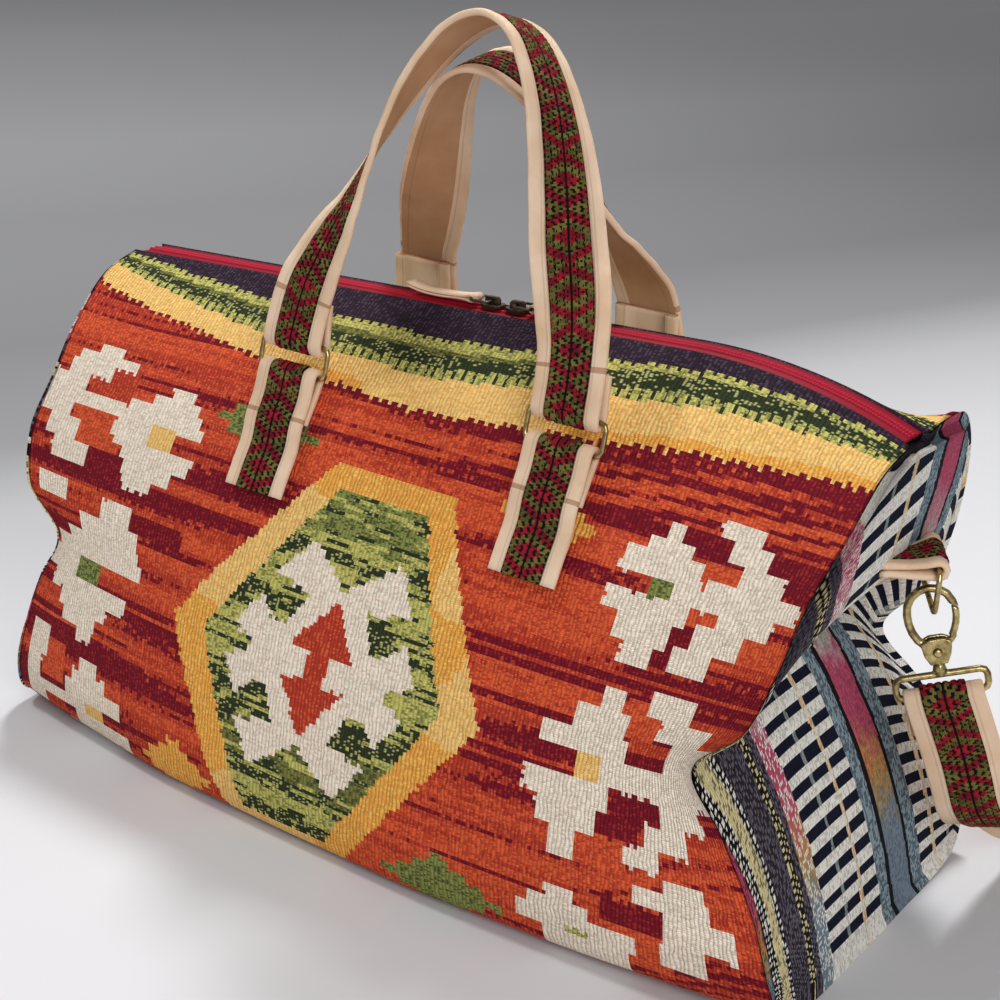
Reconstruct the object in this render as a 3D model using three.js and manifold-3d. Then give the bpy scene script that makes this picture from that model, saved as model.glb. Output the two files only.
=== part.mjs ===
// Woven cotton travel bag: a kilim panel wrapped round two striped end panels, zipped along the top,
// with two trimmed strap handles on brass rings and a shoulder strap on swivel hooks.
// Millimetres, +Z up, the length runs along X and the front faces -Y.
import * as THREE from "three";
import { mergeVertices } from "three/addons/utils/BufferGeometryUtils.js";
import Module from "manifold-3d";

const wasm = await Module();
wasm.setup();

// Clearances and cloth
const GAP = 0.4;
const CLOTH = 3;

// Bag body: half sections from the zip edge down the front to the middle of the base.
// The middle section lists half depth and height, the end seam lists half length, half depth and height.
const HALF_LENGTH = 256;
const MIDDLE_SECTION = [
  [11, 280], [33, 263], [58, 236], [80, 203], [98, 169], [111, 139], [119, 114],
  [125, 87], [129, 56], [131, 25], [123, 2.5], [60, 0], [0, 0],
];
const END_SEAM = [
  [251, 11, 265], [248, 31, 255], [244, 54, 230], [237, 74, 201], [233, 91, 169], [225, 101, 142],
  [204, 104, 117], [226, 111, 92], [246, 115, 62], [258, 114, 28], [262, 104, 8], [263, 55, 0], [263, 0, 0],
];
// The back of the right end stands fuller under the zip; the left end is fuller above its fold, shorter below.
const BACK_RISE = [1, 13, 36, 42, 26, 10, 2, 0, 0, 0, 0, 0, 0];
const BACK_FILL = [0, 3, 7, 12, 8, 2, 0, 0, 0, 0, 0, 0, 0];
const LEFT_FILL = [-2, 6, 12, 18, 24, 23, 17, 2, -9, -11, -11, -11, -11];
const CORNER_ROW = 10;
const CREASE_ROW = 6;
const LENGTH_STEPS = 18;
const SLUMP_POWER = 2.2;
const DENT_POWER = 5;
const DROOP_FROM = 0.7;
const TOP_SHARE = 0.25;

// End panels: how far the middle of each row swells outward and is lifted above its seam, top row first.
// The change of sign is the fold where the upper half slumps over the lower half.
const END_SWELL = [0, 3, 7, 11, 14, 16, -12, -15, -13, -6, 0];
const END_LIFT = [0, 5, 17, 30, 42, 44, 36, 30, 23, 12, -6];
const END_FULLNESS = 4;
const END_COLUMNS = 10;
const END_SETBACK = 1;
const END_INSET = 1.6;
const END_CLEAR = 2.5;

// Zip: a straight line rising a little to the right, then falling to the right end
const ZIP_HEIGHT = 279.2;
const ZIP_SLOPE = 0.049;
const ZIP_BEND_FROM = 0.5;
const ZIP_FALL = 26.5;
const ZIP_HALF_GAP = 0.55;
const ZIP_SINK = 0.8;
const ZIP_TAPE = 1.2;
const COIL_WIDTH = 2.9;
const COIL_HEIGHT = 1.4;
const COIL_BEVEL = 0.4;
const ZIP_REACH = 0.985;

// Zip sliders: two plates joined by a post, a bail on top, a wire link in the bail and a folded cloth pull
const SLIDER_X = { left: 6, right: 22 };
const SLIDER_LENGTH = 13;
const SLIDER_WIDTH = 9;
const SLIDER_PLATE = 1.5;
const SLIDER_NOSE = 3;
const SLIDER_CORNER = 2;
const SLIDER_WALL = 0.7;
const SLIDER_POST = 4;
const BITE = 0.4;
const BAIL_LENGTH = 8.8;
const BAIL_WIDTH = 2.6;
const BAIL_HEIGHT = 4;
const BAIL_BEVEL = 1.4;
const BAIL_EYE = 1.7;
const BAIL_EYE_RADIUS = 1.3;
const LINK_LENGTH = 11;
const LINK_WIDTH = 12;
const LINK_WIRE = 0.8;
const LINK_CORNER = 1.6;
const PULL_LENGTH = 44;
const PULL_WIDTH = 9;
const PULL_CLOTH = 1;
const PULL_LAYER = 0.75;
// Share of the pull's length and how far it is lifted there, free end first
const PULL_LIFT = [[1, 2.2], [0.8, 0.2], [0.5, -0.6], [0.14, 0]];

// Trimmed strap: canvas with turned edges standing beside a woven trim
const STRAP_WIDTH = 39;
const STRAP_BASE = 2.4;
const EDGE_WIDTH = 7.8;
const EDGE_HEIGHT = 1.2;
const STRAP_RAIL = STRAP_BASE / 2 + EDGE_HEIGHT;
const TRIM_TOP = 0.25;

// Rings and the looped straps that hold them
const RING_WIRE = 1.5;
const RING_SIDES = 6;
const RING_INSIDE = 42;
const RING_PITCH = 17;
const RING_CORNER = 3.2;
const LOOP_PLAY = 0.5;
const LOOP_RADIUS = RING_WIRE + LOOP_PLAY + STRAP_BASE / 2;
const LOOP_STEPS = 5;
const LAYER_PITCH = STRAP_BASE + GAP;
const HANDLE_SPAN = { front: { centre: 9, half: 87 }, back: { centre: -8, half: 76 } };
const HANDLE_RETURN = 23;
const HANDLE_EASE = 0.9;
const TAB_TOP = 2.05 / 12;
const TAB_BOTTOM = 3.72 / 12;
const TAB_STEPS = 5;
const TAB_RETURN = 24;
const TAB_LENGTH = 66;
const TAB_STANDOFF = 0.8;
const TAB_FLOAT = 1.6;
const TAB_EASE = 0.2;
const TAB_STEP_DOWN = 14;
const TAB_TUCK = [0.45, 1];
const SURFACE_STEP = 0.01;

// Handles: centre line of one leg from the ring to the crown as half span, depth, height, and its twist.
// The front handle stands over the back one.
const HANDLE_LEG = {
  front: [[85, 58, 284, 1], [78, 50, 308, 17], [68, 42, 333, 40], [54, 31, 373, 64], [37, 21, 406, 80],
    [18, 14, 427, 88], [0, 12, 433, 90]],
  back: [[74, 58, 286, 1], [66, 49, 307, 17], [57, 39, 328, 40], [46, 28, 358, 64], [33, 18, 386, 80],
    [17, 10, 403, 88], [0, 8, 408, 90]],
};
const HANDLE_STEPS = 24;
const HANDLE_LEAN = 12;
const TWIST_TENSION = 0.3;

// End fittings: loop tab, ring, swivel hook and strap eye.
// The hook is drawn in its own plane, across and up, with the ring's lower bar near the origin.
const FITTING_TURN = 30;
const TAB_ROOT = { left: new THREE.Vector3(247, 4, 202), right: new THREE.Vector3(246, 4, 202) };
const SIDE_BAR = new THREE.Vector3(260, 16, 204);
const SIDE_TAB_STEPS = 5;
const SIDE_TAB_EASE = 0.1;
const TAB_SEAT = 1.4;
const SIDE_RING_WIRE = 1.6;
const SIDE_RING_PITCH = 21;
const SIDE_RING_CORNER = 4;
const SIDE_LOOP_RADIUS = SIDE_RING_WIRE + LOOP_PLAY + STRAP_BASE / 2;
const HOOK_TILT = 15;
const HOOK_WIRE = 2.2;
const HOOK_SIDES = 8;
const HOOK_STEPS = 12;
const HOOK_REST = 0.5;
const HOOK_CROWN = 4.9;
const HOOK_BODY = [
  [-5, -25.5], [-9.2, -20.5], [-11.6, -11], [-10.4, -2], [-5.8, 3.2], [0, HOOK_CROWN], [5.8, 3.2], [9.9, -1.2],
  [11.7, -8.4],
];
const BLOCK_BOTTOM = -35;
const BLOCK_THICK = 7;
const BLOCK_OUTLINE = [
  [-7.6, -23.5], [-3, -21.3], [4, -21.3], [7.8, -23.5], [6.6, -30], [4.2, BLOCK_BOTTOM], [-4.2, BLOCK_BOTTOM],
  [-6.6, -30],
];
const SLOT = { left: -4.9, right: 12, bottom: -32.9, top: -19, half: 1.5 };
// The gate meets the hook's nose on a sloping face, along the way its end swings
const GATE_BODY = [[11.2, -3.4], [11.7, -8], [11.5, -12], [10.6, -16.5], [8.2, -21.8]];
const GATE_WIRE = 1.9;
const GATE_STEPS = 5;
const GATE_MEET = [[5, -2.4], [16, -8.2]];
const GATE_SPLIT = 0.7;
const MEET_REACH = 8;
const TAIL_HALF = 1.2;
const TAIL_OUTLINE = [
  [-3.6, -27.2], [-2, -25], [1, -24.4], [6.6, -22.6], [9.6, -20.2], [10.6, -22], [8, -25.4], [3.9, -29.4],
  [2.8, -31.6], [0, -32.6], [-2.8, -31.6], [-3.9, -29.4],
];
const PLAY = 0.3;
const RIVET_Z = -28.6;
const RIVET_RADIUS = 1.6;
const RIVET_HEAD = 2.9;
const RIVET_CROWN = 1.7;
const RIVET_DOME = 1.1;
const POST_RADIUS = 2;
const POST_REACH = 1.1;
const DRILL_REACH = 4;
const EYE_TOP = -41.5;
const EYE_BOTTOM = -52.5;
const EYE_INSIDE = 41;
const EYE_WIRE = 1.9;
// The swivel's ball over the eye, as radius and height above the eye's top bar
const BALL = [[0, -1], [2.6, -1], [3.6, 2.6], [3, 5.3]];

// Shoulder strap: centre line from the right hook, down to the floor, on its edge round the back to the middle.
// Each station lists x, y, z and the direction the trim faces.
const STRAP_RUN = [
  [285, 30, 96, 0.5, -0.86, 0], [291, 42, 66, 0.45, -0.84, -0.3], [293, 60, 51, 0.3, -0.5, -0.8],
  [294, 84, 45, 0.5, -0.1, -0.86], [293, 110, 35, 0.85, 0, -0.5], [286, 136, 25, 0.98, 0.2, -0.1],
  [270, 158, 21, 0.8, 0.6, 0], [238, 170, 21, 0.2, 0.98, 0],
  [130, 161, 21, -0.12, 0.99, 0], [0, 155, 21, 0, 1, 0],
];
const STRAP_STEPS = 22;
const STRAP_RETURN = 20;

const CANVAS = new THREE.MeshStandardMaterial({ color: 0xdcbea2, roughness: 0.9 });
const TRIM = new THREE.MeshStandardMaterial({ color: 0x7a2030, roughness: 0.9 });
const KILIM = new THREE.MeshStandardMaterial({ color: 0xb8482a, roughness: 0.95 });
const STRIPES = new THREE.MeshStandardMaterial({ color: 0x8d93a0, roughness: 0.95 });
const ZIP_RED = new THREE.MeshStandardMaterial({ color: 0xa01432, roughness: 0.8 });
const BRASS = new THREE.MeshStandardMaterial({ color: 0x8c7a45, metalness: 0.9, roughness: 0.4 });
const DARK_METAL = new THREE.MeshStandardMaterial({ color: 0x3a332a, metalness: 0.8, roughness: 0.45 });

const group = new THREE.Group();
const vec = (x, y, z) => new THREE.Vector3(x, y, z);
const { lerp, smoothstep, degToRad } = THREE.MathUtils;
const toOutline = (pairs) => pairs.map(([a, b]) => new THREE.Vector2(a, b));
const faces = [["front", -1], ["back", 1]];
const ends = [["left", -1], ["right", 1]];

// A closed body from points and triangles, turned so that its faces look outward
function body(points, triangles) {
  let volume = 0;
  for (const [a, b, c] of triangles) {
    volume += points[a].dot(vec(0, 0, 0).crossVectors(points[b], points[c]));
  }
  const geometry = new THREE.BufferGeometry().setFromPoints(points);
  const ordered = triangles.map(([a, b, c]) => (volume > 0 ? [a, b, c] : [a, c, b]));
  geometry.setIndex(ordered.flat());
  return geometry;
}

function add(name, geometry, material) {
  const mesh = new THREE.Mesh(geometry, material);
  mesh.name = name;
  group.add(mesh);
  return mesh;
}

// The two triangles of each cell between two rows of points
function strips(rows, columns, index, closedRows, closedColumns, turned = () => false) {
  const triangles = [];
  const lastRow = closedRows ? rows : rows - 1;
  const lastColumn = closedColumns ? columns : columns - 1;
  for (let i = 0; i < lastRow; i++) {
    for (let j = 0; j < lastColumn; j++) {
      const a = index(i, j);
      const b = index((i + 1) % rows, j);
      const c = index((i + 1) % rows, (j + 1) % columns);
      const d = index(i, (j + 1) % columns);
      if (turned(j)) triangles.push([a, b, d], [b, c, d]);
      else triangles.push([a, b, c], [a, c, d]);
    }
  }
  return triangles;
}

// A skin through closed sections, capped with the section's own outline or joined end to end
function loft(sections, outline, turned) {
  const count = sections[0].length;
  const points = sections.flat();
  const triangles = strips(sections.length, count, (i, j) => i * count + j, !outline, true, turned);
  if (outline) {
    const last = (sections.length - 1) * count;
    for (const [a, b, c] of THREE.ShapeUtils.triangulateShape(outline, [])) {
      const up = THREE.ShapeUtils.isClockWise(outline);
      triangles.push(up ? [a, c, b] : [a, b, c]);
      triangles.push(up ? [last + a, last + b, last + c] : [last + a, last + c, last + b]);
    }
  }
  return body(points, triangles);
}

// Unit normals of a grid of points, from its neighbours
function gridNormals(grid) {
  const rows = grid.length;
  const columns = grid[0].length;
  return grid.map((row, i) => row.map((_, j) => {
    const along = vec(0, 0, 0).subVectors(grid[Math.min(i + 1, rows - 1)][j], grid[Math.max(i - 1, 0)][j]);
    const across = vec(0, 0, 0).subVectors(row[Math.min(j + 1, columns - 1)], row[Math.max(j - 1, 0)]);
    return along.cross(across).normalize();
  }));
}

// A cloth panel: the grid is its outer face and the normals point away from its thickness
function panel(grid, normals) {
  const rows = grid.length;
  const columns = grid[0].length;
  const inner = grid.map((row, i) => row.map((p, j) => p.clone().addScaledVector(normals[i][j], -CLOTH)));
  const points = [...grid.flat(), ...inner.flat()];
  const out = (i, j) => i * columns + j;
  const back = (i, j) => rows * columns + i * columns + j;
  const triangles = strips(rows, columns, out, false, false);
  triangles.push(...strips(rows, columns, back, false, false).map(([a, b, c]) => [a, c, b]));
  const rim = [];
  for (let i = 0; i < rows; i++) rim.push([i, 0]);
  for (let j = 1; j < columns; j++) rim.push([rows - 1, j]);
  for (let i = rows - 2; i >= 0; i--) rim.push([i, columns - 1]);
  for (let j = columns - 2; j > 0; j--) rim.push([0, j]);
  rim.forEach(([i, j], k) => {
    const [m, n] = rim[(k + 1) % rim.length];
    triangles.push([out(i, j), back(i, j), back(m, n)], [out(i, j), back(m, n), out(m, n)]);
  });
  return body(points, triangles);
}

const toSolid = (geometry) => {
  const bare = new THREE.BufferGeometry().setAttribute("position", geometry.getAttribute("position"));
  if (geometry.index) bare.setIndex(geometry.index);
  const merged = mergeVertices(bare, 1e-4);
  const vertProperties = new Float32Array(merged.attributes.position.array);
  const triVerts = new Uint32Array(merged.index.array);
  return new wasm.Manifold(new wasm.Mesh({ numProp: 3, vertProperties, triVerts }));
};

const fromSolid = (solid) => {
  const mesh = solid.getMesh();
  const geometry = new THREE.BufferGeometry();
  geometry.setAttribute("position", new THREE.BufferAttribute(new Float32Array(mesh.vertProperties), 3));
  geometry.setIndex(new THREE.BufferAttribute(new Uint32Array(mesh.triVerts), 1));
  return geometry;
};

const join = (...pieces) => fromSolid(pieces.map(toSolid).reduce((a, b) => a.add(b)));
const cut = (piece, ...tools) => fromSolid(tools.map(toSolid).reduce((a, b) => a.subtract(b), toSolid(piece)));

// A ring of points round a centre, the first one turned by a share of a side
function polygon(radius, sides, turn = 0) {
  return Array.from({ length: sides }, (_, k) => {
    const angle = (2 * Math.PI * (k + turn)) / sides;
    return new THREE.Vector2(radius * Math.cos(angle), radius * Math.sin(angle));
  });
}

// A profile given as pairs, pushed symmetrically through a thickness along Y, with round holes
function plate(outline, thickness, holes = []) {
  const shape = new THREE.Shape(toOutline(outline));
  for (const [x, z, radius] of holes) {
    const centre = new THREE.Vector2(x, z);
    shape.holes.push(new THREE.Path(polygon(radius, HOOK_SIDES).map((p) => p.add(centre))));
  }
  const geometry = new THREE.ExtrudeGeometry(shape, { depth: thickness, bevelEnabled: false });
  geometry.translate(0, 0, -thickness / 2);
  geometry.rotateX(Math.PI / 2);
  return geometry;
}

const block = (x0, x1, z0, z1, thickness) => plate([[x0, z0], [x1, z0], [x1, z1], [x0, z1]], thickness);

// A round bar along points in the XZ plane; a loop without an end when closed
function bar(path, radius, sides, closed) {
  const ring = polygon(radius, sides, 0.5);
  const sections = path.map(([x, z], k) => {
    const before = path[closed ? (k + path.length - 1) % path.length : Math.max(k - 1, 0)];
    const after = path[closed ? (k + 1) % path.length : Math.min(k + 1, path.length - 1)];
    const tangent = vec(after[0] - before[0], 0, after[1] - before[1]).normalize();
    const side = vec(tangent.z, 0, -tangent.x);
    return ring.map((p) => vec(x, p.y, z).addScaledVector(side, p.x));
  });
  return loft(sections, closed ? null : polygon(1, sides));
}

// Centre line of a rounded rectangle between two heights
function roundedFrame(halfWidth, top, bottom, corner) {
  const path = [];
  const [high, low] = [top - corner, bottom + corner];
  const centres = [[1, high, 0], [-1, high, 90], [-1, low, 180], [1, low, 270]];
  for (const [side, z, start] of centres) {
    for (const turn of [0, 45, 90]) {
      const angle = degToRad(start + turn);
      path.push([side * (halfWidth - corner) + corner * Math.cos(angle), z + corner * Math.sin(angle)]);
    }
  }
  return path;
}

const smoothPath = (pairs, steps) => {
  const curve = new THREE.CatmullRomCurve3(pairs.map(([x, z]) => vec(x, 0, z)), false, "centripetal");
  return curve.getSpacedPoints(steps).map((p) => [p.x, p.z]);
};

// Strap sections: canvas with turned edges, the trim that lies between them, and a plain strap
const edgeInner = STRAP_WIDTH / 2 - EDGE_WIDTH;
const CANVAS_SECTION = toOutline([
  [-STRAP_WIDTH / 2, -STRAP_BASE / 2], [STRAP_WIDTH / 2, -STRAP_BASE / 2],
  [STRAP_WIDTH / 2, STRAP_RAIL], [edgeInner, STRAP_RAIL], [edgeInner, STRAP_BASE / 2],
  [-edgeInner, STRAP_BASE / 2], [-edgeInner, STRAP_RAIL], [-STRAP_WIDTH / 2, STRAP_RAIL],
]);
const TRIM_SECTION = toOutline([
  [GAP - edgeInner, STRAP_BASE / 2 + GAP], [edgeInner - GAP, STRAP_BASE / 2 + GAP],
  [edgeInner - GAP, STRAP_RAIL + TRIM_TOP], [GAP - edgeInner, STRAP_RAIL + TRIM_TOP],
]);
const PLAIN_SECTION = toOutline([
  [-STRAP_WIDTH / 2, -STRAP_BASE / 2], [STRAP_WIDTH / 2, -STRAP_BASE / 2],
  [STRAP_WIDTH / 2, STRAP_BASE / 2], [edgeInner, STRAP_BASE / 2],
  [-edgeInner, STRAP_BASE / 2], [-STRAP_WIDTH / 2, STRAP_BASE / 2],
]);

// A strap through stations that hold a place, the outward side and the width direction.
// All its layers are split along the same diagonal, so that they stay parallel where it twists.
const ribbon = (stations, section) => loft(
  stations.map(({ place, out, width }) => section.map(({ x, y }) => (
    place.clone().addScaledVector(width, x).addScaledVector(out, y)
  ))),
  section,
  (j) => section[(j + 1) % section.length].x > section[j].x,
);

// The same station on the other side of the bag
const mirrorStation = ({ place, out, width }) => ({
  place: place.clone().setX(-place.x), out: out.clone().setX(-out.x), width: width.clone().setX(-width.x),
});

// Half a turn round a bar, from one side over the far end to the other side
function loopStations(centre, first, far, width, radius) {
  const stations = [];
  for (let k = 0; k <= LOOP_STEPS; k++) {
    const angle = (Math.PI * k) / LOOP_STEPS;
    const out = first.clone().multiplyScalar(Math.cos(angle)).addScaledVector(far, Math.sin(angle));
    stations.push({ place: centre.clone().addScaledVector(out, radius), out, width: width.clone() });
  }
  return stations;
}

// Bag body
const curveOf = (rows) => new THREE.CatmullRomCurve3(rows.map((r) => vec(...r)), false, "centripetal");
const middleCurve = curveOf(MIDDLE_SECTION.map(([y, z]) => [0, y, z]));
const seamCurve = curveOf(END_SEAM);
const backCurve = curveOf(END_SEAM.map(([x, y, z], k) => [x + BACK_FILL[k], y, z + BACK_RISE[k]]));
const fillCurve = curveOf(LEFT_FILL.map((fill, k) => [k, fill, 0]));

const zipHeight = (u, x) => (
  ZIP_HEIGHT + ZIP_SLOPE * x - ZIP_FALL * Math.max(0, (u - ZIP_BEND_FROM) / (1 - ZIP_BEND_FROM)) ** 2
);

// A point of the outer face: u runs from end to end, t from the front zip edge under the base to the back one
function bagPoint(u, t) {
  const half = t <= 1 ? t : 2 - t;
  const facing = t <= 1 ? -1 : 1;
  const middle = middleCurve.getPoint(half);
  const seam = (facing < 0 || u < 0 ? seamCurve : backCurve).getPoint(half);
  if (u < 0) seam.x += fillCurve.getPoint(half).y;
  const near = Math.abs(u);
  const droop = Math.max(0, (near - DROOP_FROM) / (1 - DROOP_FROM)) ** 2;
  const share = lerp(droop, near ** SLUMP_POWER, smoothstep(half, 0, TOP_SHARE));
  const x = u * HALF_LENGTH + Math.sign(u) * (seam.x - HALF_LENGTH) * near ** DENT_POWER;
  const plainTop = lerp(MIDDLE_SECTION[0][1], END_SEAM[0][2], droop);
  const lift = (zipHeight(u, x) - plainTop) * (1 - smoothstep(half, 0, TOP_SHARE));
  return vec(x, facing * lerp(middle.y, seam.y, share), lerp(middle.z, seam.z, share) + lift);
}

const sectionSteps = MIDDLE_SECTION.length - 1;
const wrapGrid = [];
for (let i = 0; i <= LENGTH_STEPS; i++) {
  const row = [];
  for (let j = 0; j <= 2 * sectionSteps; j++) row.push(bagPoint((2 * i) / LENGTH_STEPS - 1, j / sectionSteps));
  wrapGrid.push(row);
}
const wrapNormals = gridNormals(wrapGrid);
const outward = wrapNormals[LENGTH_STEPS / 2][sectionSteps].z < 0 ? 1 : -1;
wrapNormals.forEach((row) => row.forEach((n) => n.multiplyScalar(outward)));
wrapNormals.forEach((row) => [row[0], row[2 * sectionSteps]].forEach((n) => n.set(0, 0, 1)));
add("body_panel", panel(wrapGrid, wrapNormals), KILIM);

// End panels, set just inside the mouth of the wrapped panel
const endPanels = {};
for (const [name, side] of ends) {
  const border = side < 0 ? 0 : LENGTH_STEPS;
  const inward = wrapGrid[border].map((p, j) => wrapGrid[border - side][j].clone().sub(p).normalize());
  const rim = wrapGrid[border].map((p, j) => {
    const under = p.clone().addScaledVector(wrapNormals[border][j], -CLOTH - END_INSET);
    return under.addScaledVector(inward[j], END_SETBACK);
  });
  const ceiling = (y) => {
    const shoulder = y < 0 ? rim : rim.slice().reverse();
    const k = shoulder.findIndex((p) => Math.abs(p.y) >= Math.abs(y));
    const [high, low] = [shoulder[Math.max(k - 1, 0)], shoulder[Math.max(k, 1)]];
    return lerp(high.z, low.z, Math.max(0, (y - high.y) / (low.y - high.y)));
  };
  const grid = [];
  for (let k = 0; k <= CORNER_ROW; k++) {
    const [near, far] = [rim[k], rim[2 * sectionSteps - k]];
    const swell = END_SWELL[k] - (side < 0 ? LEFT_FILL[k] : 0);
    const row = [];
    for (let c = 0; c <= END_COLUMNS; c++) {
      const full = 1 - ((2 * c) / END_COLUMNS - 1) ** END_FULLNESS;
      const point = near.clone().lerp(far, c / END_COLUMNS);
      point.add(vec(side * swell * full, 0, END_LIFT[k] * full));
      const beside = k > 0 && k < CREASE_ROW && c > 0 && c < END_COLUMNS;
      if (beside) point.setZ(Math.min(point.z, ceiling(point.y) - END_CLEAR));
      row.push(point);
    }
    grid.push(row);
  }
  const normals = gridNormals(grid);
  const facing = normals[2][END_COLUMNS / 2].x * side > 0 ? 1 : -1;
  normals.forEach((row) => row.forEach((n) => n.multiplyScalar(facing)));
  normals.forEach((row, k) => {
    row[0].copy(inward[k]).negate();
    row[END_COLUMNS].copy(inward[2 * sectionSteps - k]).negate();
  });
  normals[CORNER_ROW].forEach((n) => n.set(side, 0, 0));
  endPanels[name] = add(`end_panel_${name}`, panel(grid, normals), STRIPES);
}

function pointsOf(geometry) {
  const position = geometry.getAttribute("position");
  return Array.from({ length: position.count }, (_, i) => vec(0, 0, 0).fromBufferAttribute(position, i));
}

function trianglesOf(geometry) {
  const index = geometry.index ? Array.from(geometry.index.array) : pointsOf(geometry).map((_, i) => i);
  return Array.from({ length: index.length / 3 }, (_, i) => index.slice(3 * i, 3 * i + 3));
}

const placed = (geometry, matrix) => {
  const moved = geometry.clone().applyMatrix4(matrix);
  return body(pointsOf(moved), trianglesOf(moved));
};

// Zip tapes with their coils
for (const [name, side] of faces) {
  const edgeY = MIDDLE_SECTION[0][0] - GAP;
  const coil = ZIP_HALF_GAP + COIL_WIDTH;
  const outline = toOutline([
    [edgeY, -ZIP_TAPE], [edgeY, 0], [coil, 0], [coil - COIL_BEVEL, COIL_HEIGHT],
    [ZIP_HALF_GAP + COIL_BEVEL, COIL_HEIGHT], [ZIP_HALF_GAP, 0], [ZIP_HALF_GAP, -ZIP_TAPE],
  ]);
  const sections = [];
  for (let i = 0; i <= LENGTH_STEPS; i++) {
    const edge = bagPoint(ZIP_REACH * ((2 * i) / LENGTH_STEPS - 1), 0);
    sections.push(outline.map(({ x, y }) => vec(edge.x, side * x, edge.z - ZIP_SINK + y)));
  }
  add(`zip_tape_${name}`, loft(sections, outline), ZIP_RED);
}

// Zip sliders, drawn once with their foot on the tapes
const sliderBottom = COIL_HEIGHT + GAP;
const sliderTop = sliderBottom + SLIDER_PLATE;
const sliderUnder = -ZIP_TAPE - GAP - SLIDER_PLATE;
const halfSlider = SLIDER_LENGTH / 2;
const wideSlider = SLIDER_WIDTH / 2;
const sliderSide = [[-halfSlider, wideSlider - SLIDER_CORNER], [SLIDER_NOSE - halfSlider, wideSlider],
  [halfSlider - SLIDER_CORNER, wideSlider], [halfSlider, wideSlider - SLIDER_CORNER]];
const sliderOutline = [...sliderSide, ...sliderSide.map(([x, y]) => [x, -y]).reverse()];
const sliderPlate = (bottom) => plate(sliderOutline, SLIDER_PLATE)
  .rotateX(Math.PI / 2)
  .translate(0, 0, bottom + SLIDER_PLATE / 2);
const halfBail = BAIL_LENGTH / 2;
const bailShoulder = sliderTop + BAIL_HEIGHT - BAIL_BEVEL;
const bail = plate([
  [-halfBail, sliderTop - BITE], [halfBail, sliderTop - BITE], [halfBail, bailShoulder],
  [halfBail - BAIL_BEVEL, sliderTop + BAIL_HEIGHT], [BAIL_BEVEL - halfBail, sliderTop + BAIL_HEIGHT],
  [-halfBail, bailShoulder],
], BAIL_WIDTH, [[0, sliderTop + BAIL_EYE, BAIL_EYE_RADIUS]]);
const sliderPost = block(
  -SLIDER_POST / 2, SLIDER_POST / 2, sliderUnder + BITE, sliderBottom + BITE, 2 * (ZIP_HALF_GAP - PLAY),
);
const sliderWalls = [-1, 1].map((s) => (
  block(SLIDER_NOSE - halfSlider, halfSlider - SLIDER_CORNER, GAP, sliderBottom + BITE, SLIDER_WALL)
    .translate(0, s * (wideSlider - SLIDER_WALL / 2), 0)
));
const slider = join(sliderPlate(sliderBottom), sliderPlate(sliderUnder), bail, sliderPost, ...sliderWalls);

// Each slider has a wire link and a cloth pull, folded round the link, that lies away from the other
const linkZ = sliderTop + BAIL_EYE;
const link = bar(roundedFrame(LINK_WIDTH / 2, 0, -LINK_LENGTH, LINK_CORNER), LINK_WIRE, RING_SIDES, true);
const pullSection = toOutline([
  [-PULL_WIDTH / 2, -PULL_CLOTH / 2], [PULL_WIDTH / 2, -PULL_CLOTH / 2],
  [PULL_WIDTH / 2, PULL_CLOTH / 2], [-PULL_WIDTH / 2, PULL_CLOTH / 2],
]);
for (const [name, side] of ends) {
  const seat = new THREE.Matrix4().makeRotationY(-Math.atan(ZIP_SLOPE));
  seat.setPosition(SLIDER_X[name], 0, zipHeight(0, SLIDER_X[name]) - ZIP_SINK);
  add(`zip_slider_${name}`, placed(slider, seat), DARK_METAL);

  const lay = new THREE.Matrix4().makeBasis(vec(0, 1, 0), vec(0, 0, 1), vec(-side, 0, 0));
  add(`zip_link_${name}`, placed(link, seat.clone().multiply(lay.setPosition(0, 0, linkZ))), DARK_METAL);

  const farBar = vec(side * LINK_LENGTH, 0, linkZ);
  const width = vec(0, 1, 0);
  const layer = (up) => PULL_LIFT.map(([share, lift]) => {
    const place = farBar.clone().add(vec(side * share * PULL_LENGTH, 0, lift + up * PULL_LAYER));
    return { place, out: vec(0, 0, up), width };
  });
  const turn = loopStations(farBar, vec(0, 0, 1), vec(-side, 0, 0), width, LINK_WIRE + GAP + PULL_CLOTH / 2);
  const folded = ribbon([...layer(1), ...turn, ...layer(-1).reverse()], pullSection);
  add(`zip_pull_${name}`, placed(folded, seat), CANVAS);
}

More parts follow.
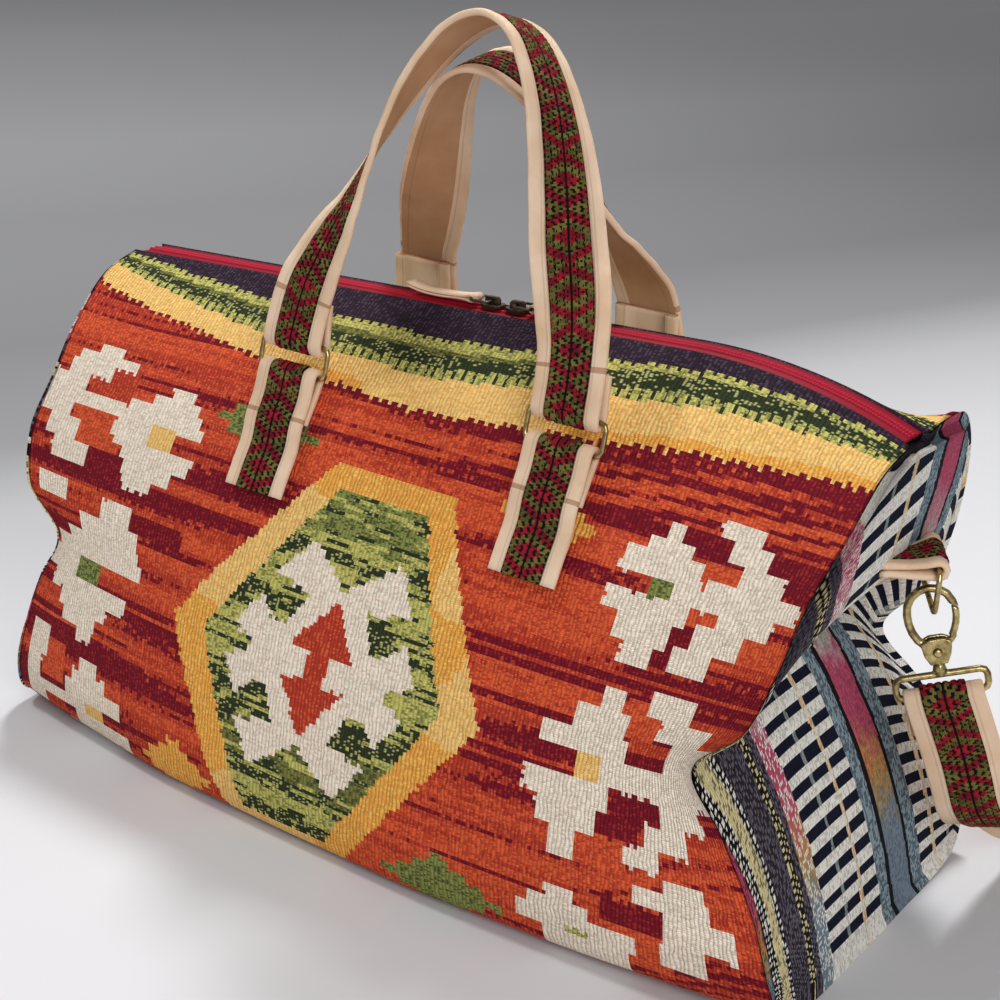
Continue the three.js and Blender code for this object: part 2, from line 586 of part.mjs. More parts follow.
// Handles, their rings and the tabs that hold them, front and back
const along = vec(1, 0, 0);
const lean = degToRad(HANDLE_LEAN);
for (const [face, y] of faces) {
  const rise = vec(0, -y * Math.sin(lean), Math.cos(lean));
  const facing = vec(0, y * Math.cos(lean), Math.sin(lean));
  const span = HANDLE_SPAN[face];
  const surface = (t, place = span.half) => {
    const u = place / HALF_LENGTH;
    const at = (share) => bagPoint(u, y < 0 ? share : 2 - share).setX(0);
    const down = at(t + SURFACE_STEP).sub(at(t - SURFACE_STEP)).normalize();
    const out = vec(0, -down.z, down.y);
    return { point: at(t), down, out: out.y * y < 0 ? out.negate() : out };
  };

  const seat = surface(TAB_TOP);
  const lift = TAB_STANDOFF + STRAP_RAIL + LOOP_RADIUS + TAB_FLOAT;
  const lowBar = seat.point.clone().addScaledVector(seat.out, lift);
  const highBar = lowBar.clone().addScaledVector(rise, RING_PITCH);

  for (const [end, x] of ends) {
    const across = vec(span.centre + x * span.half, 0, 0);
    const frame = roundedFrame(RING_INSIDE / 2 + RING_WIRE, RING_PITCH, 0, RING_CORNER);
    const stand = new THREE.Matrix4().makeBasis(along, vec(0, 0, 0).crossVectors(rise, along), rise);
    stand.setPosition(lowBar.clone().add(across));
    add(`${face}_ring_${end}`, placed(bar(frame, RING_WIRE, RING_SIDES, true), stand), BRASS);

    const flat = TAB_STANDOFF + STRAP_BASE / 2;
    const doubled = TAB_STANDOFF + STRAP_RAIL + LAYER_PITCH + TAB_EASE;
    const front = [];
    for (let k = 0; k < TAB_STEPS; k++) {
      const here = surface(lerp(TAB_BOTTOM, TAB_TOP, k / TAB_STEPS), across.x);
      const below = here.point.distanceTo(seat.point);
      const high = below > TAB_RETURN
        ? lerp(doubled, flat, smoothstep(below, TAB_RETURN, TAB_RETURN + TAB_STEP_DOWN))
        : lerp(lift + LOOP_RADIUS, doubled, Math.sqrt(below / TAB_RETURN));
      front.push({ place: here.point.addScaledVector(here.out, high), out: here.out, width: along });
    }
    const round = loopStations(lowBar, seat.out, seat.down.clone().negate(), along, LOOP_RADIUS);
    const shown = [...front, ...round];
    const tuck = TAB_TUCK.map((share) => {
      const reach = (TAB_RETURN / TAB_LENGTH) * share;
      const here = surface(lerp(TAB_TOP, TAB_BOTTOM, reach), across.x);
      const high = lerp(lift - LOOP_RADIUS, TAB_STANDOFF + STRAP_RAIL, share);
      const place = here.point.addScaledVector(here.out, high);
      return { place, out: here.out.clone().negate(), width: along };
    });
    const shift = (list) => list.map((s) => ({ ...s, place: s.place.clone().add(across) }));
    add(`${face}_tab_${end}`, ribbon(shift([...shown, ...tuck]), CANVAS_SECTION), CANVAS);
    add(`${face}_tab_${end}_trim`, ribbon(shift(shown), TRIM_SECTION), TRIM);
  }

  const foot = highBar.clone().addScaledVector(facing, LOOP_RADIUS);
  const leg = [[span.half, y * foot.y, foot.z, 0], ...HANDLE_LEG[face]];
  const both = [...leg.map(([a, b, c, d]) => [-a, b, c, d]), ...leg.slice(0, -1).reverse()];
  const placeOf = ([a, b, c]) => vec(span.centre + a, y * b, c);
  const centre = new THREE.CatmullRomCurve3(both.map(placeOf), false, "centripetal");
  const twistOf = ([, , , d], k) => vec(k, d, 0);
  const twist = new THREE.CatmullRomCurve3(both.map(twistOf), false, "catmullrom", TWIST_TENSION);
  const arch = [];
  for (let k = 0; k <= HANDLE_STEPS; k++) {
    const place = centre.getPoint(k / HANDLE_STEPS);
    const tangent = centre.getTangent(k / HANDLE_STEPS);
    const turn = degToRad(THREE.MathUtils.clamp(twist.getPoint(k / HANDLE_STEPS).y, 0, 90));
    const outer = vec(0, 0, 0).crossVectors(facing, tangent).normalize();
    const level = Math.abs(tangent.x) > 0.5;
    if (level ? outer.z < 0 : outer.x * (place.x - span.centre) < 0) outer.negate();
    const out = facing.clone().multiplyScalar(Math.cos(turn)).addScaledVector(outer, Math.sin(turn));
    out.addScaledVector(tangent, -out.dot(tangent)).normalize();
    arch.push({ place, out, width: vec(0, 0, 0).crossVectors(tangent, out) });
  }
  for (const station of [arch[0], arch[HANDLE_STEPS]]) {
    station.width = along.clone().multiplyScalar(Math.sign(station.width.x));
    station.out = facing.clone();
  }
  const turned = (x, width) => {
    const legX = span.centre + x * span.half;
    const under = loopStations(highBar.clone().setX(legX), facing, rise.clone().negate(), width, LOOP_RADIUS);
    const behind = [0.5, 1].map((share) => {
      const main = foot.clone().addScaledVector(rise, HANDLE_RETURN * share).setX(legX);
      const away = lerp(2 * LOOP_RADIUS, LAYER_PITCH + HANDLE_EASE, share);
      return { place: main.addScaledVector(facing, -away), out: facing.clone().negate(), width: width.clone() };
    });
    return { under: under.slice(1), behind };
  };
  const leftEnd = turned(-1, arch[0].width);
  const rightEnd = turned(1, arch[HANDLE_STEPS].width);
  const shown = [...leftEnd.under.reverse(), ...arch, ...rightEnd.under];
  const whole = [...leftEnd.behind.reverse(), ...shown, ...rightEnd.behind];
  add(`${face}_handle`, ribbon(whole, CANVAS_SECTION), CANVAS);
  add(`${face}_handle_trim`, ribbon(shown, TRIM_SECTION), TRIM);
}

// Swivel hook: a bent bar on a slotted block, a gate hinged on a rivet in the slot, and an eye on a swivel post
const meeting = (from, reach) => {
  const edge = (shift) => GATE_MEET.map(([x, z]) => [x, z + shift]);
  return plate([...edge(from), ...edge(from + reach).reverse()], BLOCK_THICK);
};
const lathe = (profile) => new THREE.LatheGeometry(toOutline(profile), HOOK_SIDES);
const rod = (radius, length) => new THREE.CylinderGeometry(radius, radius, length, HOOK_SIDES);
const postHole = rod(POST_RADIUS + PLAY, POST_REACH + PLAY + DRILL_REACH).rotateX(Math.PI / 2)
  .translate(0, 0, BLOCK_BOTTOM + (POST_REACH + PLAY - DRILL_REACH) / 2);
const hookFrame = cut(
  join(bar(smoothPath(HOOK_BODY, HOOK_STEPS), HOOK_WIRE, HOOK_SIDES, false), plate(BLOCK_OUTLINE, BLOCK_THICK)),
  block(SLOT.left, SLOT.right, SLOT.bottom, SLOT.top, 2 * SLOT.half),
  rod(RIVET_RADIUS + PLAY, BLOCK_THICK + DRILL_REACH).translate(0, 0, RIVET_Z),
  postHole,
  meeting(0, -MEET_REACH),
);
const gateTail = plate(TAIL_OUTLINE, 2 * TAIL_HALF, [[0, RIVET_Z, RIVET_RADIUS + PLAY]]);
const hookGate = cut(
  join(bar(smoothPath(GATE_BODY, GATE_STEPS), GATE_WIRE, HOOK_SIDES, false), gateTail),
  meeting(-GATE_SPLIT, MEET_REACH),
);
const head = BLOCK_THICK / 2 + GAP;
const dome = head + RIVET_DOME;
const rivetHalf = [[RIVET_RADIUS, head], [RIVET_HEAD, head], [RIVET_CROWN, dome], [0, dome]];
const rivetFoot = rivetHalf.map(([r, h]) => [r, -h]).reverse();
const hookRivet = lathe([...rivetFoot, ...rivetHalf]).translate(0, 0, RIVET_Z);
const eyePath = roundedFrame(EYE_INSIDE / 2 + EYE_WIRE, EYE_TOP, EYE_BOTTOM, RING_CORNER);
const eyePost = lathe([
  ...BALL.map(([r, h]) => [r, EYE_TOP + h]), [POST_RADIUS, BLOCK_BOTTOM - GAP],
  [POST_RADIUS, BLOCK_BOTTOM + POST_REACH], [0, BLOCK_BOTTOM + POST_REACH],
]).rotateX(Math.PI / 2);
const hookEye = join(bar(eyePath, EYE_WIRE, HOOK_SIDES, true), eyePost);

// End tabs: a strap from the end panel round the ring's upper bar and back, its ends cut to the panel
const caster = new THREE.Raycaster();
const turn = degToRad(FITTING_TURN);
const ringAxis = vec(-Math.sin(turn), Math.cos(turn), 0);
const across = vec(Math.cos(turn), Math.sin(turn), 0);
const endPanelX = (end, side, y, z) => {
  const wall = endPanels[end];
  wall.material.side = THREE.DoubleSide;
  caster.set(vec(2 * side * HALF_LENGTH, y, z), vec(-side, 0, 0));
  return side * caster.intersectObject(wall)[0].point.x;
};
const tabLayer = (root, layer) => Array.from({ length: SIDE_TAB_STEPS }, (_, k) => {
  const share = k / SIDE_TAB_STEPS;
  const place = root.clone().lerp(SIDE_BAR, share);
  place.z += layer * lerp(LAYER_PITCH / 2 + SIDE_TAB_EASE, SIDE_LOOP_RADIUS, share ** 2);
  const yaw = turn * smoothstep(share, 0, 1);
  return { place, out: vec(0, 0, layer), width: vec(-Math.sin(yaw), Math.cos(yaw), 0) };
});
const tabLoop = loopStations(SIDE_BAR, vec(0, 0, 1), across, ringAxis, SIDE_LOOP_RADIUS);
const tabParts = [["side_tab", CANVAS_SECTION, CANVAS], ["side_tab_trim", TRIM_SECTION, TRIM]];
for (const [end, side] of ends) {
  const tabRun = [...tabLayer(TAB_ROOT[end], 1), ...tabLoop, ...tabLayer(TAB_ROOT[end], -1).reverse()];
  const stations = side < 0 ? tabRun.map(mirrorStation) : tabRun;
  for (const [name, section, material] of tabParts) {
    const geometry = ribbon(stations, section);
    const points = pointsOf(geometry);
    const roots = [
      [stations[0].place, points.slice(0, section.length)],
      [stations.at(-1).place, points.slice(-section.length)],
    ];
    for (const [place, root] of roots) {
      const walls = [-0.5, 0, 0.5].map((w) => endPanelX(end, side, place.y + w * STRAP_WIDTH, place.z));
      root.forEach((p) => p.setX(side * (Math.max(...walls) + TAB_SEAT)));
    }
    add(`${name}_${end}`, body(points, trianglesOf(geometry)), material);
  }
}

// The ring and the hook hanging in it, mirrored from right to left
const ringPlace = new THREE.Matrix4().makeBasis(ringAxis, across.clone().negate(), vec(0, 0, 1));
ringPlace.setPosition(SIDE_BAR);
const sideFrame = roundedFrame(RING_INSIDE / 2 + SIDE_RING_WIRE, 0, -SIDE_RING_PITCH, SIDE_RING_CORNER);
const sideRing = bar(sideFrame, SIDE_RING_WIRE, RING_SIDES, true);

const lowSideBar = SIDE_BAR.clone().setZ(SIDE_BAR.z - SIDE_RING_PITCH);
const tilt = degToRad(HOOK_TILT);
const hookUp = vec(0, 0, Math.cos(tilt)).addScaledVector(across, -Math.sin(tilt));
const hookAcross = across.clone().multiplyScalar(Math.cos(tilt)).add(vec(0, 0, Math.sin(tilt)));
const hookFace = vec(0, 0, 0).crossVectors(hookUp, hookAcross);
const hookPlace = new THREE.Matrix4().makeBasis(hookAcross, hookFace, hookUp);
const hookDrop = SIDE_RING_WIRE + HOOK_REST + HOOK_WIRE - HOOK_CROWN;
hookPlace.setPosition(lowSideBar.clone().addScaledVector(hookUp, hookDrop));

const flip = new THREE.Matrix4().makeScale(-1, 1, 1);
const fittings = [
  ["side_ring", placed(sideRing, ringPlace)],
  ["hook_frame", placed(hookFrame, hookPlace)],
  ["hook_gate", placed(hookGate, hookPlace)],
  ["hook_rivet", placed(hookRivet, hookPlace)],
  ["hook_eye", placed(hookEye, hookPlace)],
];
for (const [name, geometry] of fittings) {
  add(`${name}_right`, geometry, BRASS);
  add(`${name}_left`, placed(geometry, flip), BRASS);
}

// Shoulder strap: looped on one eye, down to the floor, on its edge behind the bag and up to the other eye
const eyeBar = vec(0, 0, EYE_BOTTOM).applyMatrix4(hookPlace);
const hang = hookUp.clone().negate();
const showing = hookFace.y < 0 ? hookFace.clone() : hookFace.clone().negate();
const eyeLoop = EYE_WIRE + LOOP_PLAY + STRAP_BASE / 2;
const loopWidth = vec(0, 0, 0).crossVectors(hang, showing);
const strapTop = loopStations(eyeBar, showing.clone().negate(), hookUp, loopWidth, eyeLoop);
const strapTuck = [1, 0.5].map((share) => {
  const away = lerp(eyeLoop, LAYER_PITCH + LOOP_PLAY - eyeLoop, share);
  const place = eyeBar.clone().addScaledVector(hang, STRAP_RETURN * share).addScaledVector(showing, -away);
  return { place, out: showing.clone().negate(), width: loopWidth };
});
const runStart = eyeBar.clone().addScaledVector(showing, eyeLoop);
const runRows = [[...runStart.toArray(), ...showing.toArray()], ...STRAP_RUN];
const runPlaces = runRows.map((r) => vec(r[0], r[1], r[2]));
const runFacings = runRows.map((r) => vec(r[3], r[4], r[5]));
const runCurve = new THREE.CatmullRomCurve3(runPlaces, false, "centripetal");
const faceCurve = new THREE.CatmullRomCurve3(runFacings, false, "catmullrom", TWIST_TENSION);
const halfRun = [];
for (let k = 1; k <= STRAP_STEPS; k++) {
  const place = runCurve.getPoint(k / STRAP_STEPS);
  const tangent = runCurve.getTangent(k / STRAP_STEPS);
  if (k === STRAP_STEPS) tangent.set(-1, 0, 0);
  const out = faceCurve.getPoint(k / STRAP_STEPS);
  out.addScaledVector(tangent, -out.dot(tangent)).normalize();
  const width = vec(0, 0, 0).crossVectors(tangent, out);
  const rest = Math.abs(width.z) * STRAP_WIDTH / 2 + Math.abs(out.z) * STRAP_RAIL + GAP;
  place.setZ(Math.max(place.z, rest));
  halfRun.push({ place, out, width });
}
const rightShown = [...strapTop, ...halfRun];
const leftShown = rightShown.slice(0, -1).reverse().map(mirrorStation);
const rightAll = [...strapTuck, ...rightShown];
const leftAll = rightAll.slice(0, -1).reverse().map(mirrorStation);
add("shoulder_strap", ribbon([...rightAll, ...leftAll], PLAIN_SECTION), CANVAS);
add("shoulder_strap_trim", ribbon([...rightShown, ...leftShown], TRIM_SECTION), TRIM);

export default group;
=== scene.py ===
# Cotton travel bag: kilim panel, striped end panels, zip, trimmed handles and a clip-on shoulder strap.
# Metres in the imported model's frame; shapes are worked out in millimetres and scaled when a mesh is made.
import bmesh
import bpy
import numpy as np
from mathutils import Matrix, Vector


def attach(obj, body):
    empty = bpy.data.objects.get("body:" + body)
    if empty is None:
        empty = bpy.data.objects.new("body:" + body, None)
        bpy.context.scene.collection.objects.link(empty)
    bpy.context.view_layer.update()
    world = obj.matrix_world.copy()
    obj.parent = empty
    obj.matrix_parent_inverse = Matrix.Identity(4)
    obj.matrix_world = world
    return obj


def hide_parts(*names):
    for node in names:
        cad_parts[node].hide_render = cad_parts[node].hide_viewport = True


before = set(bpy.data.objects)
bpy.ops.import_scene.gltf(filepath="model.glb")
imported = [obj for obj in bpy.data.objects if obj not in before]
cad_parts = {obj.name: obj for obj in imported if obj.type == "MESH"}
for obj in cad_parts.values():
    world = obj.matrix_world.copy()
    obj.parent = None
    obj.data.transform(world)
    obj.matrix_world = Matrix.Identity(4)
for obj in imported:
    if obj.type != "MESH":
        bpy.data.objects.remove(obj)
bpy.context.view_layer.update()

# Kilim panel
# One flat-woven wool cloth with a medallion and hooked flowers, running from the front zip edge down
# the front, under the base and up the back. It is sewn to the zip tapes and round both end panels.
HALF_LENGTH = 256.0
# Half a section from the zip to the middle of the base: out and up at mid length, then along, out and up
# at the end seam. The back is fuller than the front at the right end, and the left end is filled out.
MIDDLE = np.array([[11, 280], [33, 263], [58, 236], [80, 203], [98, 169], [111, 139], [119, 114],
                   [125, 87], [129, 56], [131, 25], [123, 2.5], [60, 0], [0, 0]], float)
SEAM = np.array([[251, 11, 265], [248, 31, 255], [244, 54, 230], [237, 74, 201], [233, 91, 169],
                 [225, 101, 142], [204, 104, 117], [226, 111, 92], [246, 115, 62], [258, 114, 28],
                 [262, 104, 8], [263, 55, 0], [263, 0, 0]], float)
BACK_RISE = np.array([1, 13, 36, 42, 26, 10, 2, 0, 0, 0, 0, 0, 0], float)
BACK_FILL = np.array([0, 3, 7, 12, 8, 2, 0, 0, 0, 0, 0, 0, 0], float)
LEFT_FILL = np.array([-2, 6, 12, 18, 24, 23, 17, 2, -9, -11, -11, -11, -11], float)
ZIP_LEVEL, ZIP_SLOPE, ZIP_FALL = 279.2, 0.049, 26.5
STITCH = (2.1, 2.2)
HEM, END_HEM, END_HEM_SINK = 3.0, 4.0, 0.5
INSIDE = (0, 0, 120)


def unit(v):
    """A vector divided by its length."""
    v = np.asarray(v, float)
    return v / np.maximum(np.linalg.norm(v, axis=-1, keepdims=True), 1e-9)


def curve(points, share, tension=None):
    """A smooth line through points: cubic pieces with centripetal tangents, or tangents of a set tension."""
    p = np.asarray(points, float)
    p = np.vstack([2 * p[0] - p[1], p, 2 * p[-1] - p[-2]])
    place = np.clip(np.asarray(share, float), 0, 1) * (len(p) - 3)
    k = np.minimum(place.astype(int), len(p) - 4)
    w = (place - k)[..., None]
    a, b, c, d = (p[k + n] for n in range(4))
    if tension is None:
        e, f, g = (np.maximum(np.linalg.norm(n - m, axis=-1, keepdims=True), 1e-9) ** 0.5
                   for m, n in ((a, b), (b, c), (c, d)))
        s = f * ((b - a) / e - (c - a) / (e + f)) + (c - b)
        t = f * ((d - c) / g - (d - b) / (f + g)) + (c - b)
    else:
        s, t = tension * (c - a), tension * (d - b)
    return b + s * w + (3 * (c - b) - 2 * s - t) * w**2 + (2 * (b - c) + s + t) * w**3


def run_length(place):
    """Length along a line of points up to each of them."""
    return np.r_[0, np.cumsum(np.linalg.norm(np.diff(place, axis=0), axis=1))]


def ease(x, low, high):
    """A step from 0 at low to 1 at high, with level ends: 3w squared minus 2w cubed."""
    w = np.clip((x - low) / (high - low), 0, 1)
    return w * w * (3 - 2 * w)


def zip_height(u, x):
    """Height of the zip line: a gentle slope along x, less a square fall over the right half."""
    return ZIP_LEVEL + ZIP_SLOPE * x - ZIP_FALL * np.maximum(0, (u - 0.5) / 0.5) ** 2


def bag_point(u, t):
    """The bag's outer face: the middle section drawn towards the end seam by the share of the length, with
    the ends pushed out or in by the fifth power of that share and the top edge following the zip line."""
    u, t = np.broadcast_arrays(np.asarray(u, float), np.asarray(t, float))
    half = np.where(t <= 1, t, 2 - t)
    facing = np.where(t <= 1, -1.0, 1.0)
    mid = curve(MIDDLE, half)
    full = SEAM + np.stack([BACK_FILL, 0 * BACK_FILL, BACK_RISE], 1)
    seam = np.where(((facing > 0) & (u >= 0))[..., None], curve(full, half), curve(SEAM, half))
    fill = curve(np.stack([np.arange(len(LEFT_FILL)), LEFT_FILL, 0 * LEFT_FILL], 1), half)[..., 1]
    near = np.abs(u)
    droop = np.maximum(0, (near - 0.7) / 0.3) ** 2
    low = ease(half, 0, 0.25)
    share = droop + (near**2.2 - droop) * low
    x = u * HALF_LENGTH + np.sign(u) * (seam[..., 0] + np.where(u < 0, fill, 0) - HALF_LENGTH) * near**5
    lift = (zip_height(u, x) - MIDDLE[0, 1] + (MIDDLE[0, 1] - SEAM[0, 2]) * droop) * (1 - low)
    y = facing * (mid[..., 0] + (seam[..., 1] - mid[..., 0]) * share)
    return np.stack([x, y, mid[..., 1] + (seam[..., 2] - mid[..., 1]) * share + lift], -1)


def grid_normals(g):
    """Normals of a grid of points: the cross product of the differences along its two directions."""
    a = g[np.r_[1:len(g), len(g) - 1]] - g[np.r_[0, 0:len(g) - 1]]
    b = g[:, np.r_[1:g.shape[1], g.shape[1] - 1]] - g[:, np.r_[0, 0:g.shape[1] - 1]]
    return unit(np.cross(a, b))


def grid_faces(rows, columns, closed=False):
    """Quads over a grid of points numbered row by row; closed joins the last column to the first."""
    k = np.arange(rows * columns).reshape(rows, columns)
    if closed:
        k = np.hstack([k, k[:, :1]])
    return np.stack([k[:-1, :-1], k[:-1, 1:], k[1:, 1:], k[1:, :-1]], -1).reshape(-1, 4)


def grain(a, b):
    """A fixed scatter from 0 to 1: the fraction of a large sine of both numbers."""
    v = np.sin(np.asarray(a) * 127.1 + np.asarray(b) * 311.7) * 43758.5453
    return v - np.floor(v)


def drift(a, b):
    """A smooth scatter from 0 to 1: the grain of the four whole numbers around, eased between."""
    i, j = np.floor(a), np.floor(b)
    f, g = ease(a - i, 0, 1), ease(b - j, 0, 1)
    low = grain(i, j) * (1 - f) + grain(i + 1, j) * f
    return low * (1 - g) + (grain(i, j + 1) * (1 - f) + grain(i + 1, j + 1) * f) * g


def linear(rgb):
    """Screen colours, 0 to 255, as light: the standard curve of power 2.4 with a straight foot."""
    v = np.asarray(rgb, float) / 255
    return np.where(v <= 0.04045, v / 12.92, ((v + 0.055) / 1.055) ** 2.4)


def within(x, y, outline):
    """Whether points lie inside an outline: an odd number of its edges cross the line to their right."""
    inside = np.zeros(np.shape(x), bool)
    for (x0, y0), (x1, y1) in zip(outline, outline[1:] + outline[:1]):
        crosses = (y0 > y) != (y1 > y)
        at = x0 + (x1 - x0) * (y - y0) / (y1 - y0 if y1 != y0 else 1)
        inside ^= crosses & (x < at)
    return inside


def rimmed(grid):
    """A grid with one more row and column on every side, copied from its edges."""
    return np.pad(grid, ((1, 1), (1, 1), (0, 0)), mode="edge")


def placed(name, data):
    """A new object at the origin for a mesh, lamp or camera."""
    obj = bpy.data.objects.new(name, data)
    bpy.context.scene.collection.objects.link(obj)
    return obj


def stand_in(obj, body, node):
    """Makes an object ride on a body in place of a CAD node."""
    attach(obj, body)
    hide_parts(node)
    return obj


def shape(name, points, faces, material, body, node, uv=None, yarn=None, caps=(), away=None):
    """A smooth mesh from points in millimetres. Its faces are turned so that it encloses a positive volume,
    or look away from a point where it is open. uv is kept for each point and yarn for each
    face: a colour, with the colour and share of its flecks where it has seven numbers."""
    points = np.asarray(points, float).reshape(-1, 3)
    a, b, c = (points[faces[:, n]] for n in range(3))
    centre = points.mean(0) if away is None else np.asarray(away, float)
    volume = np.einsum("ij,ij->", a - centre, np.cross(b - centre, c - centre))
    turn = -1 if volume < 0 else 1
    mesh = bpy.data.meshes.new(name)
    rings = [list(map(int, cap)) for cap in caps]
    mesh.from_pydata((points / 1000).tolist(), [], [f[::turn] for f in faces.tolist() + rings])
    corner = np.empty(len(mesh.loops), np.int32)
    mesh.loops.foreach_get("vertex_index", corner)
    if uv is not None:
        layer = mesh.uv_layers.new(name="cloth")
        layer.data.foreach_set("uv", np.asarray(uv, np.float32).reshape(-1, 2)[corner].ravel())
    if yarn is not None:
        yarn = np.asarray(yarn, float).reshape(len(faces), -1)
        yarn = np.vstack([yarn] + [yarn[-1:]] * len(rings))
        for key, first in (("yarn", 0), ("fleck", 3))[:1 + (yarn.shape[1] > 3)]:
            share = yarn[:, 6:] if first else np.ones((len(yarn), 1))
            colours = np.hstack([linear(yarn[:, first:first + 3]), share]).astype(np.float32)
            layer = mesh.attributes.new(key, "FLOAT_COLOR", "FACE")
            layer.data.foreach_set("color", colours.ravel())
    mesh.polygons.foreach_set("use_smooth", np.ones(len(mesh.polygons), bool))
    mesh.materials.append(material)
    return stand_in(placed(name, mesh), body, node)


def feed(tree, node, inputs):
    """Fills a node's inputs with values, or links them to other nodes' outputs."""
    for key, value in inputs.items():
        if isinstance(value, bpy.types.NodeSocket):
            tree.links.new(value, node.inputs[key])
        else:
            node.inputs[key].default_value = value


def new_material(name, roughness, metallic=0.0):
    """A material with one principled shader; returns it, its node tree and the shader."""
    material = bpy.data.materials.new(name)
    material.use_nodes = True
    shader = material.node_tree.nodes["Principled BSDF"]
    feed(material.node_tree, shader, {"Roughness": roughness, "Metallic": metallic,
                                      "Specular IOR Level": 0.5 if metallic else 0.12})
    return material, material.node_tree, shader


def put(tree, kind, inputs=None, **settings):
    """A new shader node of a kind, with its settings and its inputs."""
    made = tree.nodes.new(f"ShaderNode{kind}")
    for key, value in settings.items():
        setattr(made, key, value)
    feed(tree, made, inputs or {})
    return made


def sum_of(tree, operation, a, b=0.0, c=0.0):
    """The output of one math node, of the named operation, on up to three values or outputs."""
    return put(tree, "Math", {0: a, 1: b, 2: c}, operation=operation).outputs["Value"]


def own_place(tree):
    """The piece's own coordinates."""
    return put(tree, "TexCoord").outputs["Object"]


def noise(tree, place, scale, detail, roughness=0.5):
    """The outputs of smooth noise over a place."""
    return put(tree, "TexNoise", {"Vector": place, "Scale": scale, "Detail": detail,
                                  "Roughness": roughness}).outputs


def bumped(tree, strength, depth, height):
    """The normals of a surface raised by a height, with a depth in metres."""
    return put(tree, "Bump", {"Strength": strength, "Distance": depth, "Height": height}).outputs["Normal"]


def scaled(tree, colour, share):
    """A colour times a share."""
    return put(tree, "VectorMath", {0: colour, "Scale": share}, operation="SCALE").outputs["Vector"]


def woven_stitches():
    """A node group for cloth: each cell of the thread grid is a leaning stitch, a sine across for the rib
    times a flatter sine for each weft, with painted shade darkening the gaps, and set unevenly by noise. A
    share of the stitches, picked by scatter, takes the fleck colour."""
    group = bpy.data.node_groups.new("woven_stitches", "ShaderNodeTree")
    for name, kind in (("Threads", "Vector"), ("Place", "Vector"), ("Yarn", "Color"), ("Fleck", "Color"),
                       ("Share", "Float"), ("Lean", "Float")):
        group.interface.new_socket(name=name, in_out="INPUT", socket_type=f"NodeSocket{kind}")
    for name, kind in (("Color", "Color"), ("Height", "Float")):
        group.interface.new_socket(name=name, in_out="OUTPUT", socket_type=f"NodeSocket{kind}")
    given = group.nodes.new("NodeGroupInput").outputs
    wave = noise(group, given["Place"], 150.0, 1.0)["Color"]
    uneven = put(group, "VectorMath", {0: wave, 1: (1.3, 1.3, 0), 2: given["Threads"]},
                 operation="MULTIPLY_ADD").outputs["Vector"]
    split = put(group, "SeparateXYZ", {0: uneven}).outputs
    row, rise = (sum_of(group, part, split["Y"]) for part in ("FLOOR", "FRACT"))
    leaning = sum_of(group, "MULTIPLY_ADD", rise, given["Lean"], split["X"])
    cell, over = (sum_of(group, part, leaning) for part in ("FLOOR", "FRACT"))
    weft, rib = (sum_of(group, "SINE", sum_of(group, "MULTIPLY", part, np.pi)) for part in (rise, over))
    hump = sum_of(group, "MULTIPLY", rib, sum_of(group, "MULTIPLY_ADD", weft, 0.4, 0.6))
    stitch = put(group, "CombineXYZ", {0: cell, 1: row}).outputs["Vector"]
    scatter = put(group, "TexWhiteNoise", {"Vector": stitch}).outputs
    fibre = noise(group, given["Place"], 1300.0, 3.0, 0.6)["Fac"]
    few = sum_of(group, "LESS_THAN", scatter["Value"], given["Share"])
    mixed = put(group, "Mix", {0: sum_of(group, "MULTIPLY", few, hump), 6: given["Yarn"],
                               7: given["Fleck"]}, data_type="RGBA").outputs[2]
    own = put(group, "SeparateXYZ", {0: scatter["Color"]}).outputs["Y"]
    # Painted shade: the colour is darker where the hump is low, in the gaps between stitches.
    shade = sum_of(group, "MULTIPLY_ADD", hump, 0.4, sum_of(group, "MULTIPLY_ADD", own, 0.24, 0.7))
    shade = sum_of(group, "MULTIPLY", shade, sum_of(group, "MULTIPLY_ADD", fibre, 0.7, 0.65))
    height = sum_of(group, "MULTIPLY_ADD", fibre, 0.7, hump)
    feed(group, group.nodes.new("NodeGroupOutput"), {"Color": scaled(group, mixed, shade), "Height": height})
    return group


def cloth_material(name, cells, lean, depth):
    """A matt cloth of woven stitches: cells are stitches to each step of the thread grid, across and down."""
    material, tree, shader = new_material(name, 0.92)
    yarn, fleck = (put(tree, "Attribute", attribute_name=key).outputs for key in ("yarn", "fleck"))
    grid = put(tree, "UVMap", uv_map="cloth").outputs["UV"]
    threads = put(tree, "VectorMath", {0: grid, 1: (*cells, 1)}, operation="MULTIPLY")
    woven = put(tree, "Group", {
        "Threads": threads.outputs["Vector"], "Place": own_place(tree), "Yarn": yarn["Color"],
        "Fleck": fleck["Color"], "Share": fleck["Alpha"], "Lean": lean}, node_tree=stitch_group).outputs
    feed(tree, shader, {"Base Color": woven["Color"], "Normal": bumped(tree, 0.9, depth, woven["Height"])})
    return material


# Wool colours, each with the colour and share of its flecks
ORANGE, RUST, MAROON, GOLD, AMBER, CREAM, LIME, GREEN, FOREST, PLUM, OLIVE = range(11)
WOOLS = np.array([
    (226, 94, 56, 184, 58, 40, 0.36), (188, 62, 44, 218, 94, 58, 0.32), (122, 22, 38, 162, 44, 42, 0.3),
    (252, 206, 126, 240, 182, 98, 0.3), (244, 172, 78, 252, 200, 104, 0.3),
    (252, 236, 216, 230, 212, 190, 0.3), (200, 194, 108, 104, 114, 56, 0.32),
    (140, 146, 78, 54, 66, 40, 0.36), (50, 58, 36, 184, 184, 118, 0.3),
    (48, 36, 48, 78, 62, 80, 0.35), (126, 126, 66, 50, 62, 38, 0.4)], float)

